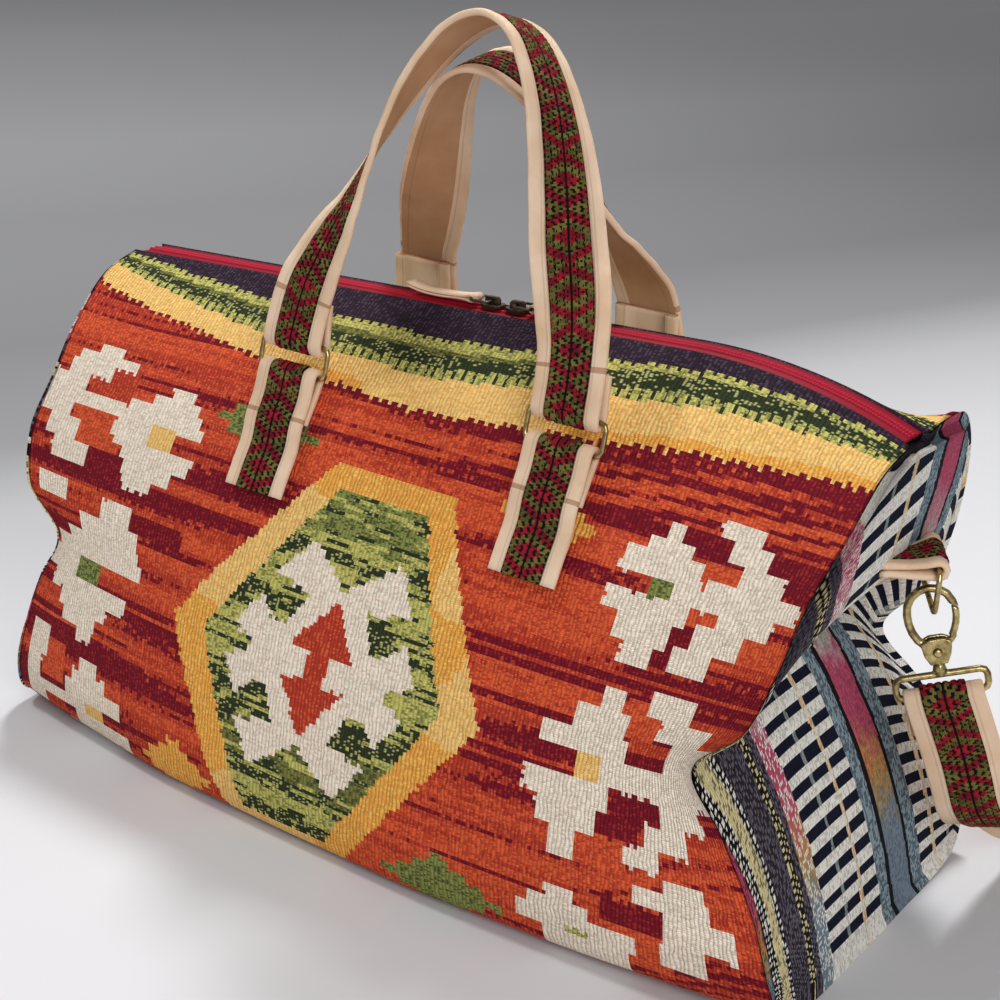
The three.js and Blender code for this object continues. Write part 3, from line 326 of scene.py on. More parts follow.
# Lower edges of the plum, green and gold bands: millimetres down at five places along the bag
BAND_PLACES = [-256, -128, 0, 128, 256]
BAND_EDGES = [[3, 18, 22, 11, 4], [18, 41, 46.5, 31, 18], [34, 55, 65, 54, 37]]
# The medallion's middle, along and down, its lean, and the height of the steps in its outlines
MEDALLION, MEDALLION_LEAN, TIER = (-10.5, 211), 0.15, 3.3
STAR = [(0, 44), (29, 66), (46, 41), (18, 38), (29, 17), (36, 17), (48, 29), (62, 7), (46, 6), (46, 0),
        (0, 0)]
ARROW = [(0, 39), (22, 7), (7, 7), (7, 0), (0, 0)]
FIELD_EDGES = [140, 147, 157, 177, 195, 220, 250, 275, 285, 296]
FIELD_TONES = [GREEN, LIME, FOREST, LIME, FOREST, LIME, FOREST, OLIVE, FOREST, LIME, FOREST]
# Stepped flowers: a wool, the first height, then each step's height and its reach along the bag
STEPS = [
    (MAROON, 84, (13, 173, 199)), (ORANGE, 97, (11, 188, 209), (8, 190, 200), (13, 187, 206)),
    (MAROON, 130, (12, 182, 195), (13, 176, 187)),
    (CREAM, 84, (8, 163, 172), (7, 155, 180), (8, 145, 188), (6, 143, 190), (9, 176, 205), (10, 141, 188),
     (13, 150, 182), (11, 158, 175)),
    (CREAM, 75, (9, 190, 213), (10, 199, 223), (11, 209, 236), (12, 192, 253), (11, 206, 240),
     (12, 195, 225), (14, 186, 210)),
    (GREEN, 113, (9, 163, 176)),
    (ORANGE, 172, (20, 171, 195)), (RUST, 192, (6, 181, 210)), (MAROON, 198, (9, 181, 209)),
    (MAROON, 218, (14, 173, 206), (11, 164, 190)), (ORANGE, 243, (17, 155, 185)),
    (CREAM, 170, (10, 157, 170), (13, 144, 176), (12, 128, 180), (13, 165, 212), (12, 122, 172),
     (15, 131, 165), (15, 140, 155)),
    (CREAM, 165, (13, 185, 212), (12, 196, 230), (16, 209, 256), (13, 180, 256), (11, 206, 238),
     (13, 195, 222), (11, 183, 204)),
    (GOLD, 205, (13, 151, 165)),
    (MAROON, 272, (12, 171, 213)), (ORANGE, 284, (22, 182, 210)),
    (CREAM, 275, (7, 141, 157), (7, 132, 166), (10, 125, 190), (22, 140, 186)),
    (CREAM, 255, (7, 206, 228), (9, 188, 230), (14, 205, 243), (15, 203, 226)), (LIME, 296, (4, 152, 166)),
    (RUST, 88, (20, -225, -188)), (ORANGE, 116, (22, -229, -185)), (MAROON, 138, (16, -208, -176)),
    (CREAM, 90, (7, -160, -142), (7, -171, -136), (6, -188, -131), (6, -190, -128), (11, -194, -166),
     (5, -190, -127), (6, -182, -130), (9, -178, -140), (8, -175, -153)),
    (CREAM, 75, (6, -226, -207), (8, -241, -193), (9, -246, -209), (10, -256, -226), (9, -256, -190),
     (9, -256, -230), (12, -246, -220), (14, -238, -208)),
    (GOLD, 115, (12, -166, -146)),
    (CREAM, 163, (13, -245, -218)), (MAROON, 168, (10, -164, -120)),
    (CREAM, 166, (13, -187, -161), (10, -205, -153), (7, -222, -150), (9, -245, -147), (13, -256, -208),
     (10, -236, -155), (10, -220, -171), (8, -214, -180), (8, -197, -182)),
    (GREEN, 205, (13, -210, -184)),
    (ORANGE, 262, (24, -228, -205)), (RUST, 298, (9, -226, -205)),
    (CREAM, 264, (8, -190, -174), (8, -196, -165), (10, -203, -150), (10, -232, -172), (12, -196, -145),
     (18, -205, -160)),
    (CREAM, 255, (20, -246, -224), (20, -246, -230), (15, -246, -227)), (GOLD, 291, (9, -184, -168))]
DIAMONDS = [(-86, 97, 36, 20, GREEN), (97, 100, 27, 22, AMBER), (80, 302, 36, 20, GREEN),
            (-105, 302, 27, 20, AMBER)]


def kilim(s, d):
    """The woven picture as wool numbers: s runs along the bag and d down from the zip edge, in millimetres.
    Bands, a hexagon with a star, stepped flowers and diamonds lie over a ground of streaked rows."""
    column, row = np.floor(s / STITCH[0]), np.floor(d / STITCH[1])
    rough_s, rough_d = s + 0.8 * (grain(row, column) - 0.5), d + 0.8 * (grain(column + 7, row) - 0.5)
    wool = np.full(s.shape, ORANGE)

    def lay(mask, tone):
        """Weaves a wool, or a field of wools, over what is there."""
        wool[mask] = np.broadcast_to(tone, s.shape)[mask]

    plum_edge, green_edge, gold_edge = (
        np.interp(s, BAND_PLACES, levels) + 1.2 * (grain(np.floor(s / 9), k) - 0.5)
        for k, levels in enumerate(BAND_EDGES))
    fall = d + 26 * ease(s, 150, 256) * ease(d, 200, 262)
    lines = ease(np.sin(2 * np.pi * (d - gold_edge) / 8.2 + 2), 0, 0.7)
    lines *= ease(gold_edge + 46 - d, 0, 12) * ease(s, -20, 90)
    streak = (0.45 * drift(fall / 9, s / 120 + 3) + 0.55 * drift(fall / 3.3 + 31, s / 210 + 7) - 0.42 * lines
              + 0.1 * (grain(column, row) - 0.5) - 0.1 * ease(-s, 0, 180))
    lay(streak < 0.52, RUST)
    lay(streak < 0.37, MAROON)
    tooth = column % 3 == 0
    lay(d < gold_edge + np.where(tooth, 0, STITCH[1]) + 4.5 * ease(s, -150, 60), MAROON)
    for x, y, wide, tall, tone in DIAMONDS:
        lay(np.abs(rough_s - x) / wide + np.abs(np.round((rough_d - y) / 5.5)) * 5.5 / tall < 1, tone)
    lay(d < gold_edge + np.where(tooth, STITCH[1], 0), GOLD)
    lay((d < gold_edge) & (d > gold_edge - 5) & (drift(s / 60, 0) > 0.5), AMBER)
    share = (d - plum_edge) / (green_edge - plum_edge)
    green = d < green_edge
    lay(green, LIME)
    lay(green & (share > 0.3) & (share < 0.42), OLIVE)
    lay(green & (share > 0.42 - 0.2 * ease(s, 40, 120)) & (share < 0.74), FOREST)
    lay(green & (share > 0.74) & tooth, FOREST)
    lay(d < plum_edge + np.where(tooth, STITCH[1], 0), PLUM)

    x = rough_s - MEDALLION[0] + MEDALLION_LEAN * (d - MEDALLION[1])
    y = rough_d - MEDALLION[1]
    aside, tier = np.abs(x), np.abs(np.round(y / TIER) * TIER)
    outer = (aside < np.interp(tier, [0, 106], [104, 39])) & (tier < 107)
    inner = (aside < np.interp(tier, [0, 94], [80, 29])) & (tier < 95)
    lay(outer, GOLD)
    lay(outer & (drift(x / 34 + 5, y / 34) > 0.52), AMBER)
    wander = d + 12 * (drift(s / 17, d / 5) - 0.5)
    lay(inner, np.asarray(FIELD_TONES)[np.searchsorted(FIELD_EDGES, wander)])
    lay(inner & (drift(row, (s + 2 * d) / 13) > 0.74), FOREST)
    lay(inner & (drift(row + 50, (s + 2 * d) / 13) > 0.72), LIME)
    lay(inner & within(aside, tier, STAR), CREAM)
    lay(inner & within(aside, tier, ARROW), RUST)
    for tone, low, *spans in STEPS:
        for tall, first, last in spans:
            lay((rough_d >= low) & (rough_d < low + tall) & (rough_s > first) & (rough_s < last), tone)
            low += tall
    return wool


section_arc = np.linspace(0, 1, 2001)
section_length = run_length(curve(MIDDLE, section_arc))
columns = int(2 * HALF_LENGTH / STITCH[0])
rows = int(2 * section_length[-1] / STITCH[1])
down = np.linspace(0, 2 * section_length[-1], rows + 1)
half_down = np.minimum(down, 2 * section_length[-1] - down)
turn_t = np.interp(half_down, section_length, section_arc)
turn_t = np.where(down <= section_length[-1], turn_t, 2 - turn_t)
along_u = np.linspace(-1, 1, columns + 1)
wrap = bag_point(along_u[None, :], turn_t[:, None])
wrap_out = -grid_normals(wrap)
wrap_out *= -np.sign(wrap_out[rows // 2, columns // 2, 2])
s_mid = (along_u[:-1] + along_u[1:]) / 2 * HALF_LENGTH
d_mid = (half_down[:-1] + half_down[1:]) / 2
s_grid, d_grid = np.meshgrid(s_mid, d_mid)
picture = WOOLS[kilim(s_grid, d_grid)]
hollow = 1.6 * drift(s_grid / 60 + 9, d_grid / 75) * ease(d_grid, 20, 90)
hollow = np.pad(hollow, ((0, 1), (0, 1)), mode="edge")[..., None]
cloth = wrap - hollow * wrap_out
cloth[..., 2] = np.maximum(cloth[..., 2], 0.0)
hemmed = rimmed(cloth)
hemmed[[0, -1], 1:-1] -= HEM * wrap_out[[0, -1]]
hemmed[1:-1, 0] += [END_HEM, 0, 0] - END_HEM_SINK * wrap_out[:, 0]
hemmed[1:-1, -1] -= [END_HEM, 0, 0] + END_HEM_SINK * wrap_out[:, -1]
hemmed[0, [0, -1]], hemmed[-1, [0, -1]] = hemmed[1, [0, -1]], hemmed[-2, [0, -1]]
u_count, v_count = np.meshgrid(np.arange(-1, columns + 2), np.arange(-1, rows + 2))

stitch_group = woven_stitches()
kilim_cloth = cloth_material("kilim", (0.9, 2.1), 0.12, 0.001)
kilim_panel = shape(
    "kilim_panel", hemmed, grid_faces(rows + 3, columns + 3), kilim_cloth, "bag", "body_panel",
    uv=np.stack([u_count, v_count], -1), yarn=rimmed(picture), away=INSIDE)

# End panels
# Two striped cotton panels, each slumped over itself at half height, sewn inside the kilim panel's mouth.
# The weave has vertical stripes: dotted rows, two ladder checks and two bands that change colour downward.
END_SWELL = np.array([0, 3, 7, 11, 14, 16, -12, -15, -13, -6, 0], float)
END_LIFT = np.array([0, 5, 17, 30, 42, 44, 36, 30, 23, 12, -6], float)
END_ROWS, END_COLUMNS = 248, 206
RIM_SINK, SHOULDER_GAP, FOLD_TAKE_UP, RIM_COVER = 4.6, 2.5, 0.38, 0.8
BAR_RISE, BAR_PALE, HEM_STITCHES = 0.6, 150, 3
NAVY, WHITE, BLACK, PURPLE = (22, 25, 46), (252, 248, 238), (26, 22, 26), (48, 40, 50)
TEAL, TEAL_FLECK, STRAW = (146, 164, 174), (30, 42, 58), (232, 216, 164)
PINK, OCHRE, SLATE, STEEL = (196, 84, 114), (200, 150, 84), (124, 140, 156), (196, 190, 182)


def end_grid(side):
    """The end panel's coarse grid: straight lines from the front rim to the back rim, swelled and lifted by
    one less the fourth power of the distance from the middle, and kept under the kilim panel's shoulder."""
    steps, half, corner = 18, 12, 10
    body = bag_point(np.linspace(-1, 1, steps + 1)[:, None], np.arange(2 * half + 1)[None, :] / half)
    out = grid_normals(body)
    out *= -np.sign(out[steps // 2, half, 2])
    out[:, [0, -1]] = [0, 0, 1]
    border = 0 if side < 0 else steps
    inward = unit(body[border - side] - body[border])
    rim = body[border] - RIM_SINK * out[border] + inward
    k = np.arange(corner + 1)
    c = np.linspace(0, 1, corner + 1)
    full = 1 - (2 * c - 1) ** 4
    near, far = rim[k][:, None], rim[2 * half - k][:, None]
    swell = END_SWELL - (LEFT_FILL[:corner + 1] if side < 0 else 0)
    grid = near + (far - near) * c[None, :, None]
    grid[..., 0] += side * swell[:, None] * full
    grid[..., 2] += END_LIFT[:, None] * full
    front = np.interp(-grid[..., 1], -rim[:8, 1], rim[:8, 2])
    rear = np.interp(grid[..., 1], rim[:16:-1, 1], rim[:16:-1, 2])
    ceiling = np.where(grid[..., 1] < 0, front, rear) - SHOULDER_GAP
    beside = np.zeros(grid.shape[:2], bool)
    beside[1:6, 1:10] = True
    grid[..., 2] = np.where(beside, np.minimum(grid[..., 2], ceiling), grid[..., 2])
    return grid


def stripes(w, h, row):
    """The end panel's stripes: w runs across from front to back and h down, in millimetres. Each face gets a
    colour with the colour and share of its flecks; dots and bars are counted down the stripe."""
    dot = ((h / 4.2 + 0.5 * (np.floor(w / 2.8) % 2)) % 1 < 0.55) & ((w / 2.8) % 1 < 0.6)
    speck = ((h / 2.7 + 0.5 * (np.floor(w / 2.3) % 2)) % 1 < 0.5) & ((w / 2.3) % 1 < 0.5)
    bar = ((h.max() - h + 1) / 11.4) % 1 < 0.54
    paint = np.empty(w.shape + (7,))

    def lay(low, high, tone, mask=True, fleck=None, share=0.3):
        """Weaves one stripe; its flecks are a darker tone of its own where no colour is given."""
        on = (w >= low) & (w < high) & mask
        tone = np.broadcast_to(np.asarray(tone, float), w.shape + (3,))[on]
        paint[on, :3], paint[on, 3:6], paint[on, 6] = tone, 0.78 * tone if fleck is None else fleck, share

    def ladder(low, high, gap, line):
        """Weaves white bars on navy with a grey gap and a straw line down them."""
        lay(low, high, NAVY)
        lay(low, high, WHITE, bar)
        lay(gap - 1.5, gap + 1.5, (150, 158, 152), ~bar)
        lay(line - 2, line + 2, (246, 232, 210), bar)
        lay(line - 2, line + 2, (240, 208, 164), ~bar)

    def shaded(low, high, shift, fleck=None):
        """Weaves a band whose colour changes downward, blended between tones at set rows."""
        tones = np.asarray([PINK, PINK, STEEL, STEEL, PINK, PINK, OCHRE, SLATE, SLATE], float)
        places = [0, 3.6, 4.8, 6.5, 6.95, 7.7, 8.3, 8.9, 10]
        at = row - shift + 0.5 * (drift(w / 2, h / 5) - 0.5)
        blend = np.stack([np.interp(at, places, tones[:, n]) for n in range(3)], -1)
        lay(low, high, blend, fleck=fleck, share=0.4)

    lay(-140, 140, PURPLE, fleck=(108, 100, 118))
    lay(-87, -58, (112, 106, 114), speck)
    shaded(-140, -107, 0.3, BLACK)
    lay(-107, -100, BLACK)
    lay(-107, -100, WHITE, dot)
    lay(-100, -92, STRAW, fleck=BLACK)
    lay(-92, -87, BLACK)
    lay(-92, -87, WHITE, dot)
    lay(-70, -64, BLACK)
    lay(-70, -64, STRAW, dot)
    shaded(-58, -46, 0.2, WHITE)
    ladder(-46, 12, -25, -7)
    lay(12, 23, TEAL, fleck=TEAL_FLECK, share=0.5)
    lay(23, 27, BLACK)
    shaded(27, 48, 0)
    lay(48, 51, BLACK)
    lay(51, 63, TEAL, fleck=TEAL_FLECK, share=0.5)
    ladder(63, 140, 98, 80)
    paint[row < 0.55] = (*PURPLE, *PURPLE, 0)
    return paint


stripe_cloth = cloth_material("striped_cotton", (0.8, 0.9), 0.4, 0.0008)
for end, side in (("left", -1), ("right", 1)):
    coarse = end_grid(side)
    tall = curve(coarse.reshape(11, -1), np.linspace(0, 1, END_ROWS + 1)).reshape(END_ROWS + 1, 11, 3)
    wide = curve(tall.transpose(1, 0, 2).reshape(11, -1), np.linspace(0, 1, END_COLUMNS + 1))
    panel = wide.reshape(END_COLUMNS + 1, END_ROWS + 1, 3).transpose(1, 0, 2)
    row = np.linspace(0, 10, END_ROWS)[:, None] + np.zeros((1, END_COLUMNS))
    across = np.linalg.norm(panel[:-1, -1] - panel[:-1, 0], axis=-1)[:, None]
    w = np.linspace(-0.5, 0.5, END_COLUMNS)[None, :] * across
    fallen = np.cumsum(np.linalg.norm(np.diff(panel, axis=0), axis=2), axis=0)
    fallen = fallen[:, END_COLUMNS // 4:-END_COLUMNS // 4].mean(1, keepdims=True)
    h = fallen - FOLD_TAKE_UP * np.minimum(fallen, fallen[END_ROWS // 2]) + np.zeros_like(w)
    paint = stripes(w, h, row)
    proud = np.pad((paint[..., :3].min(-1) > BAR_PALE).astype(float), 1, mode="edge")
    proud = (proud[1:, 1:] + proud[1:, :-1] + proud[:-1, 1:] + proud[:-1, :-1]) / 4
    panel_out = grid_normals(panel)
    panel_out *= side * np.sign(panel_out[END_ROWS // 4, END_COLUMNS // 2, 0])
    panel = panel + BAR_RISE * proud[..., None] * panel_out
    border = rimmed(panel)
    seam_t = np.linspace(0, 10, END_ROWS + 1) / 12
    low_t = np.linspace(10, 14, END_COLUMNS + 1) / 12
    over = np.array([RIM_COVER * side, 0, 0])
    border[1:-1, 0] = bag_point(side, seam_t) + over
    border[1:-1, -1] = bag_point(side, 2 - seam_t) + over
    border[-1, 1:-1] = bag_point(side, low_t) + over
    border[0] = border[1] - [side * HEM, 0, 0]
    border[-1, 0], border[-1, -1] = border[-1, 1], border[-1, -2]
    count = np.stack(np.meshgrid(np.arange(END_COLUMNS + 3), np.arange(END_ROWS + 3)), -1)
    count[-1, :, 1] += HEM_STITCHES
    count[:, 0, 0] -= HEM_STITCHES
    count[:, -1, 0] += HEM_STITCHES
    striped_end = shape(
        f"striped_end_{end}", border, grid_faces(END_ROWS + 3, END_COLUMNS + 3), stripe_cloth, "bag",
        f"end_panel_{end}", uv=count, yarn=rimmed(paint), away=INSIDE)

# Zip
# A red coil zip along the top with two sliders that meet near the middle. The tapes are sewn under the
# kilim panel's top edges, and each slider has a wire link with a folded strip of canvas as its pull.
ZIP_STEPS, ZIP_REACH, TAPE_SINK, COIL_PITCH, COIL_DIP = 1240, 0.985, 0.8, 1.6, 0.55
TAPE_SECTION = np.array([[10.6, -1.2], [10.6, 0], [6, 0.1], [3.5, 0], [3.3, 0.9], [2.6, 1.4], [1.6, 1.4],
                         [0.8, 0.9], [0.55, 0], [0.55, -1.2]])
TAPE_RED, COIL_RED = (136, 12, 34), (166, 22, 48)


def ribbon_mesh(sections):
    """Points, quads and two end rings of a tube of equal sections."""
    n, m = sections.shape[:2]
    return sections.reshape(-1, 3), grid_faces(n, m, True), [np.arange(m)[::-1], np.arange(m) + (n - 1) * m]


def yarn_material(name, roughness, fibre, spread, shade, strength, depth):
    """Yarn in each face's own colour under fine fibres: noise of a detail and roughness, mapped from its
    spread to a lighter and darker shade, and used again as the bump."""
    material, tree, shader = new_material(name, roughness)
    yarn = put(tree, "Attribute", attribute_name="yarn").outputs["Color"]
    fine = noise(tree, own_place(tree), 1500.0, *fibre)["Fac"]
    fuzz = put(tree, "MapRange", {"Value": fine, "From Min": spread[0], "From Max": spread[1],
                                  "To Min": shade[0], "To Max": shade[1]}).outputs["Result"]
    feed(tree, shader, {"Base Color": scaled(tree, yarn, fuzz),
                        "Normal": bumped(tree, strength, depth, fine)})
    return material


def two_tones(tree, share, dark, pale, low=0.0, high=1.0):
    """A colour between two tones by a share, level below the low mark and above the high one."""
    ramp = put(tree, "ValToRGB", {"Fac": share})
    for stop, tone, mark in zip(ramp.color_ramp.elements, (dark, pale), (low, high)):
        stop.position = mark
        stop.color = (*linear(tone), 1)
    return ramp.outputs["Color"]


zip_red = yarn_material("zip_red", 0.6, (2.0, 0.5), (0, 1), (0.8, 1.2), 0.5, 0.0004)
for face, side in (("front", -1), ("back", 1)):
    u = np.linspace(-ZIP_REACH, ZIP_REACH, ZIP_STEPS + 1)
    edge = bag_point(u, np.zeros_like(u))
    turns = 0.5 + 0.5 * np.cos(2 * np.pi * edge[:, 0] / COIL_PITCH)
    on_coil = ((TAPE_SECTION[:, 0] < 3.4) & (TAPE_SECTION[:, 1] > 0.5)).astype(float)
    high = edge[:, 2:] - TAPE_SINK + TAPE_SECTION[:, 1] - COIL_DIP * turns[:, None] * on_coil
    sections = np.stack([np.broadcast_to(edge[:, :1], high.shape),
                         np.broadcast_to(side * TAPE_SECTION[:, 0], high.shape), high], -1)
    points, faces, caps = ribbon_mesh(sections)
    tint = np.where((on_coil > 0)[None, :, None], np.array(COIL_RED), np.array(TAPE_RED))
    shape(f"zip_tape_cloth_{face}", points, faces, zip_red, "bag", f"zip_tape_{face}", caps=caps,
          yarn=np.broadcast_to(tint, (ZIP_STEPS, len(TAPE_SECTION), 3)))

dark_metal, tree, shader = new_material("dark_metal", 0.42, 0.9)
worn = noise(tree, own_place(tree), 420.0, 4.0)["Fac"]
soft = put(tree, "Bevel", {"Radius": 0.0004}, samples=4)
feed(tree, shader, {"Base Color": two_tones(tree, worn, (52, 46, 40), (112, 98, 78)),
                    "Normal": soft.outputs["Normal"]})


def finish_nodes(material, names):
    """Puts a material on CAD nodes, whose shapes stay as they are."""
    for name in names:
        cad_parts[name].data.materials.clear()
        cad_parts[name].data.materials.append(material)


finish_nodes(dark_metal, [f"zip_{part}_{end}" for part in ("slider", "link") for end in ("left", "right")])

# Straps: canvas, braid and the way they are laid
# Every strap is beige cotton canvas with both edges turned over a woven braid of maroon, olive and black
# yarn. A row of stitches holds each turned edge.
STRAP_HALF, STRAP_BASE, RAIL, EDGE_INNER, BRAID_TOP = 19.5, 2.4, 2.4, 11.7, 2.65
CANVAS_EDGE = np.array([[0, -1.2], [11, -1.25], [17.6, -1.3], [19.1, -0.9], [19.5, 0.2], [19.4, 1.4],
                        [18.6, 2.2], [17, 2.5], [14.4, 2.45], [12.7, 2.3], [11.9, 1.9], [11.7, 1.2],
                        [5, 1.2]])
CANVAS_SECTION = np.vstack([CANVAS_EDGE, (CANVAS_EDGE * [-1, 1])[:0:-1]])
PLAIN_SECTION = np.array([[-18.6, -1.2], [-9, -1.25], [9, -1.25], [18.6, -1.2], [19.5, -0.5], [19.5, 0.6],
                          [18.6, 1.3], [9, 1.25], [-9, 1.25], [-18.6, 1.3], [-19.5, 0.6], [-19.5, -0.5]])
# Strap tints: the inside is painted darker as painted shade, and each seam across as the painted shade of its
# crease.
INSIDE_SHADE, SEAM_CREASE_SHADE, SEAM_HALF = (212, 190, 170), (206, 190, 176), 1.3
SEWN_LINE, SEWN_HALF, STITCH_PITCH, STITCH_DASH = 13.4, 0.42, 3.6, 2.7
BRAID_COLUMNS, BRAID_STITCH, BRAID_BAND, BRAID_TURN, BRAID_SLANT = 36, (3.73, 3.1), 4.7, 14.0, 0.55
BRAID_RED, BRAID_OLIVE, BRAID_DARK = (134, 24, 38), (100, 94, 46), (24, 14, 12)


def stations(*groups):
    """Strap stations, each a place, an outward side and a width direction, joined into one array of rows."""
    return np.vstack([np.reshape(g, (-1, 9)) for g in groups])


def station(place, out, width):
    """Rows of place, outward side and width direction, the three widened to the same count."""
    place, out, width = np.broadcast_arrays(*(np.atleast_2d(v).astype(float) for v in (place, out, width)))
    return np.hstack([place, out, width])


def half_turn(centre, first, far, width, radius):
    """Half a turn round a bar from the first side over the far end: cosine and sine of six even angles."""
    angle = np.linspace(0, np.pi, 6)[:, None]
    out = np.cos(angle) * first + np.sin(angle) * far
    return station(centre + radius * out, out, width)


def finer(rows, step):
    """The same strap with a station about every step millimetres, on smooth curves through the given ones."""
    length = run_length(rows[:, :3])
    even = np.linspace(0, length[-1], int(length[-1] / step) + 2)
    dense = np.interp(even, length, np.linspace(0, 1, len(rows)))
    out, width = (unit(curve(part, dense, 0.3)) for part in (rows[:, 3:6], rows[:, 6:]))
    return np.hstack([curve(rows[:, :3], dense), out, width])


def run_of(points, share):
    """Places on a smooth line and the directions there, from places just before and after."""
    return curve(points, share), unit(curve(points, share + 1e-4) - curve(points, share - 1e-4))


def squared(out, tangent):
    """Outward sides with their part along the run taken off."""
    return unit(out - tangent * np.sum(out * tangent, 1, keepdims=True))


def canvas_strap(name, rows, section, body, node, seams=()):
    """A strap of one section carried along its stations, its turned edges puckered by a smooth scatter; uv is
    millimetres across and along. The inside is painted darker and browner as painted shade, and seams are
    sewn lines at lengths from the ends, painted darker as the shade of their creases."""
    rows = finer(rows, 2.5)
    place, out, width = rows[:, None, :3], rows[:, None, 3:6], rows[:, None, 6:]
    along = run_length(rows[:, :3])[:, None] + np.zeros(len(section))
    turned = (np.abs(section[:, 0]) > 12) & (section[:, 1] > 1.5)
    high = section[:, 1] + turned * 0.4 * (drift(along / 4.5, 7 * np.sign(section[:, 0])) - 0.7)
    points, faces, caps = ribbon_mesh(place + width * section[None, :, :1] + out * high[..., None])
    uv = np.stack([np.broadcast_to(section[:, 0], along.shape), along], -1)
    tint = np.full((len(rows) - 1, len(section), 3), 255.0)
    # Painted shade: the inside face is tinted darker and browner.
    inside = (section[:, 1] < -1) & (np.roll(section[:, 1], -1) < -1) & (np.abs(section[:, 0]) < 15)
    tint[:, inside] = INSIDE_SHADE
    # Painted shade: each sewn seam across the strap is tinted darker as the shade of its crease.
    for seam in seams:
        near_end = np.minimum(along[:-1, 0], along[-1, 0] - along[:-1, 0])
        tint[np.abs(near_end - seam) < SEAM_HALF] = SEAM_CREASE_SHADE
    return shape(name, points, faces, canvas, body, node, uv=uv, caps=caps, yarn=tint)


def braid(name, rows, body, node):
    """The woven braid on a strap: slanted stitches, each a small rounded hump, in maroon and olive chevrons
    that turn round every few bands and are mirrored about the centre line, with sides down to the canvas."""
    rows = finer(rows, 1.05)
    half = EDGE_INNER - 0.5
    v = np.linspace(-half, half, BRAID_COLUMNS + 1)
    along = run_length(rows[:, :3])

    def stitches(v, length):
        """Stitch numbers across and along, the chevron's number and the hump: a root of two sines."""
        fold = np.abs((length / BRAID_TURN) % 2 - 1) * BRAID_TURN
        slant = BRAID_SLANT * np.abs(v)
        a = np.abs(v) / BRAID_STITCH[0]
        b = (length + np.where((length / BRAID_TURN) % 2 < 1, 1, -1) * slant) / BRAID_STITCH[1]
        hump = (np.abs(np.sin(np.pi * a)) * np.abs(np.sin(np.pi * b))) ** 0.5
        return a, b, (fold + slant) / BRAID_BAND, hump

    hump = stitches(v[None, :], along[:, None])[3]
    top = BRAID_TOP - 0.75 + 0.85 * hump
    place, out, width = rows[:, None, :3], rows[:, None, 3:6], rows[:, None, 6:]
    upper = place + width * v[None, :, None] + out * top[..., None]
    foot = (place + width * np.array([-half, half])[None, :, None] + out * (STRAP_BASE / 2 + 0.1))
    sections = np.concatenate([foot[:, :1], upper, foot[:, 1:]], 1)
    points, faces, caps = ribbon_mesh(sections)
    middle = (v[:-1] + v[1:])[None, :] / 2
    a, b, band, hump = stitches(middle, ((along[:-1] + along[1:]) / 2)[:, None])
    tint = np.where((np.floor(band) % 2 == 0)[..., None], BRAID_RED, BRAID_OLIVE).astype(float)
    tint[(hump < 0.46) | (np.abs(middle) < 0.7)] = BRAID_DARK
    tint *= (0.8 + 0.4 * grain(np.floor(b), np.floor(a) + 9 * np.sign(middle)))[..., None]
    tint = np.concatenate([tint[:, :1], tint, tint[:, -1:], tint[:, :1]], 1)
    return shape(name, points, faces, braid_yarn, body, node, caps=caps, yarn=tint)


canvas, tree, shader = new_material("canvas", 0.9)
split = put(tree, "SeparateXYZ", {0: put(tree, "UVMap", uv_map="cloth").outputs["UV"]})
across, along = split.outputs["X"], split.outputs["Y"]
place = own_place(tree)
thread = noise(tree, place, 1900.0, 2.0)["Fac"]
paint = two_tones(tree, noise(tree, place, 38.0, 3.0)["Fac"], (228, 192, 158), (246, 218, 190), 0.3, 0.7)
weft, warp = (sum_of(tree, "SINE", sum_of(tree, "MULTIPLY", way, 9.0)) for way in (along, across))
sewn = sum_of(tree, "COMPARE", sum_of(tree, "ABSOLUTE", across), SEWN_LINE, SEWN_HALF)
dash = sum_of(tree, "LESS_THAN", sum_of(tree, "FLOORED_MODULO", along, STITCH_PITCH), STITCH_DASH)
height = sum_of(tree, "MULTIPLY_ADD", sum_of(tree, "MULTIPLY", weft, warp), 0.25, thread)
height = sum_of(tree, "MULTIPLY_ADD", sewn, -1.4, height)
height = sum_of(tree, "MULTIPLY_ADD", sum_of(tree, "MULTIPLY", sewn, dash), 1.2, height)
# Painted shade: the colour is darker along the sunk sewn lines.
sewn_line_shade = put(tree, "MapRange", {"Value": sewn, "To Min": 1.0, "To Max": 0.84}).outputs["Result"]
# The yarn tint carries the strap's painted shade on the inside and at the seams.
side = put(tree, "Attribute", attribute_name="yarn").outputs["Color"]
tone = put(tree, "VectorMath", {0: scaled(tree, paint, sewn_line_shade), 1: side}, operation="MULTIPLY")
feed(tree, shader, {"Base Color": tone.outputs["Vector"], "Normal": bumped(tree, 0.7, 0.0005, height)})

braid_yarn = yarn_material("braid", 0.88, (3.0, 0.6), (0.25, 0.75), (0.7, 1.25), 0.8, 0.0006)

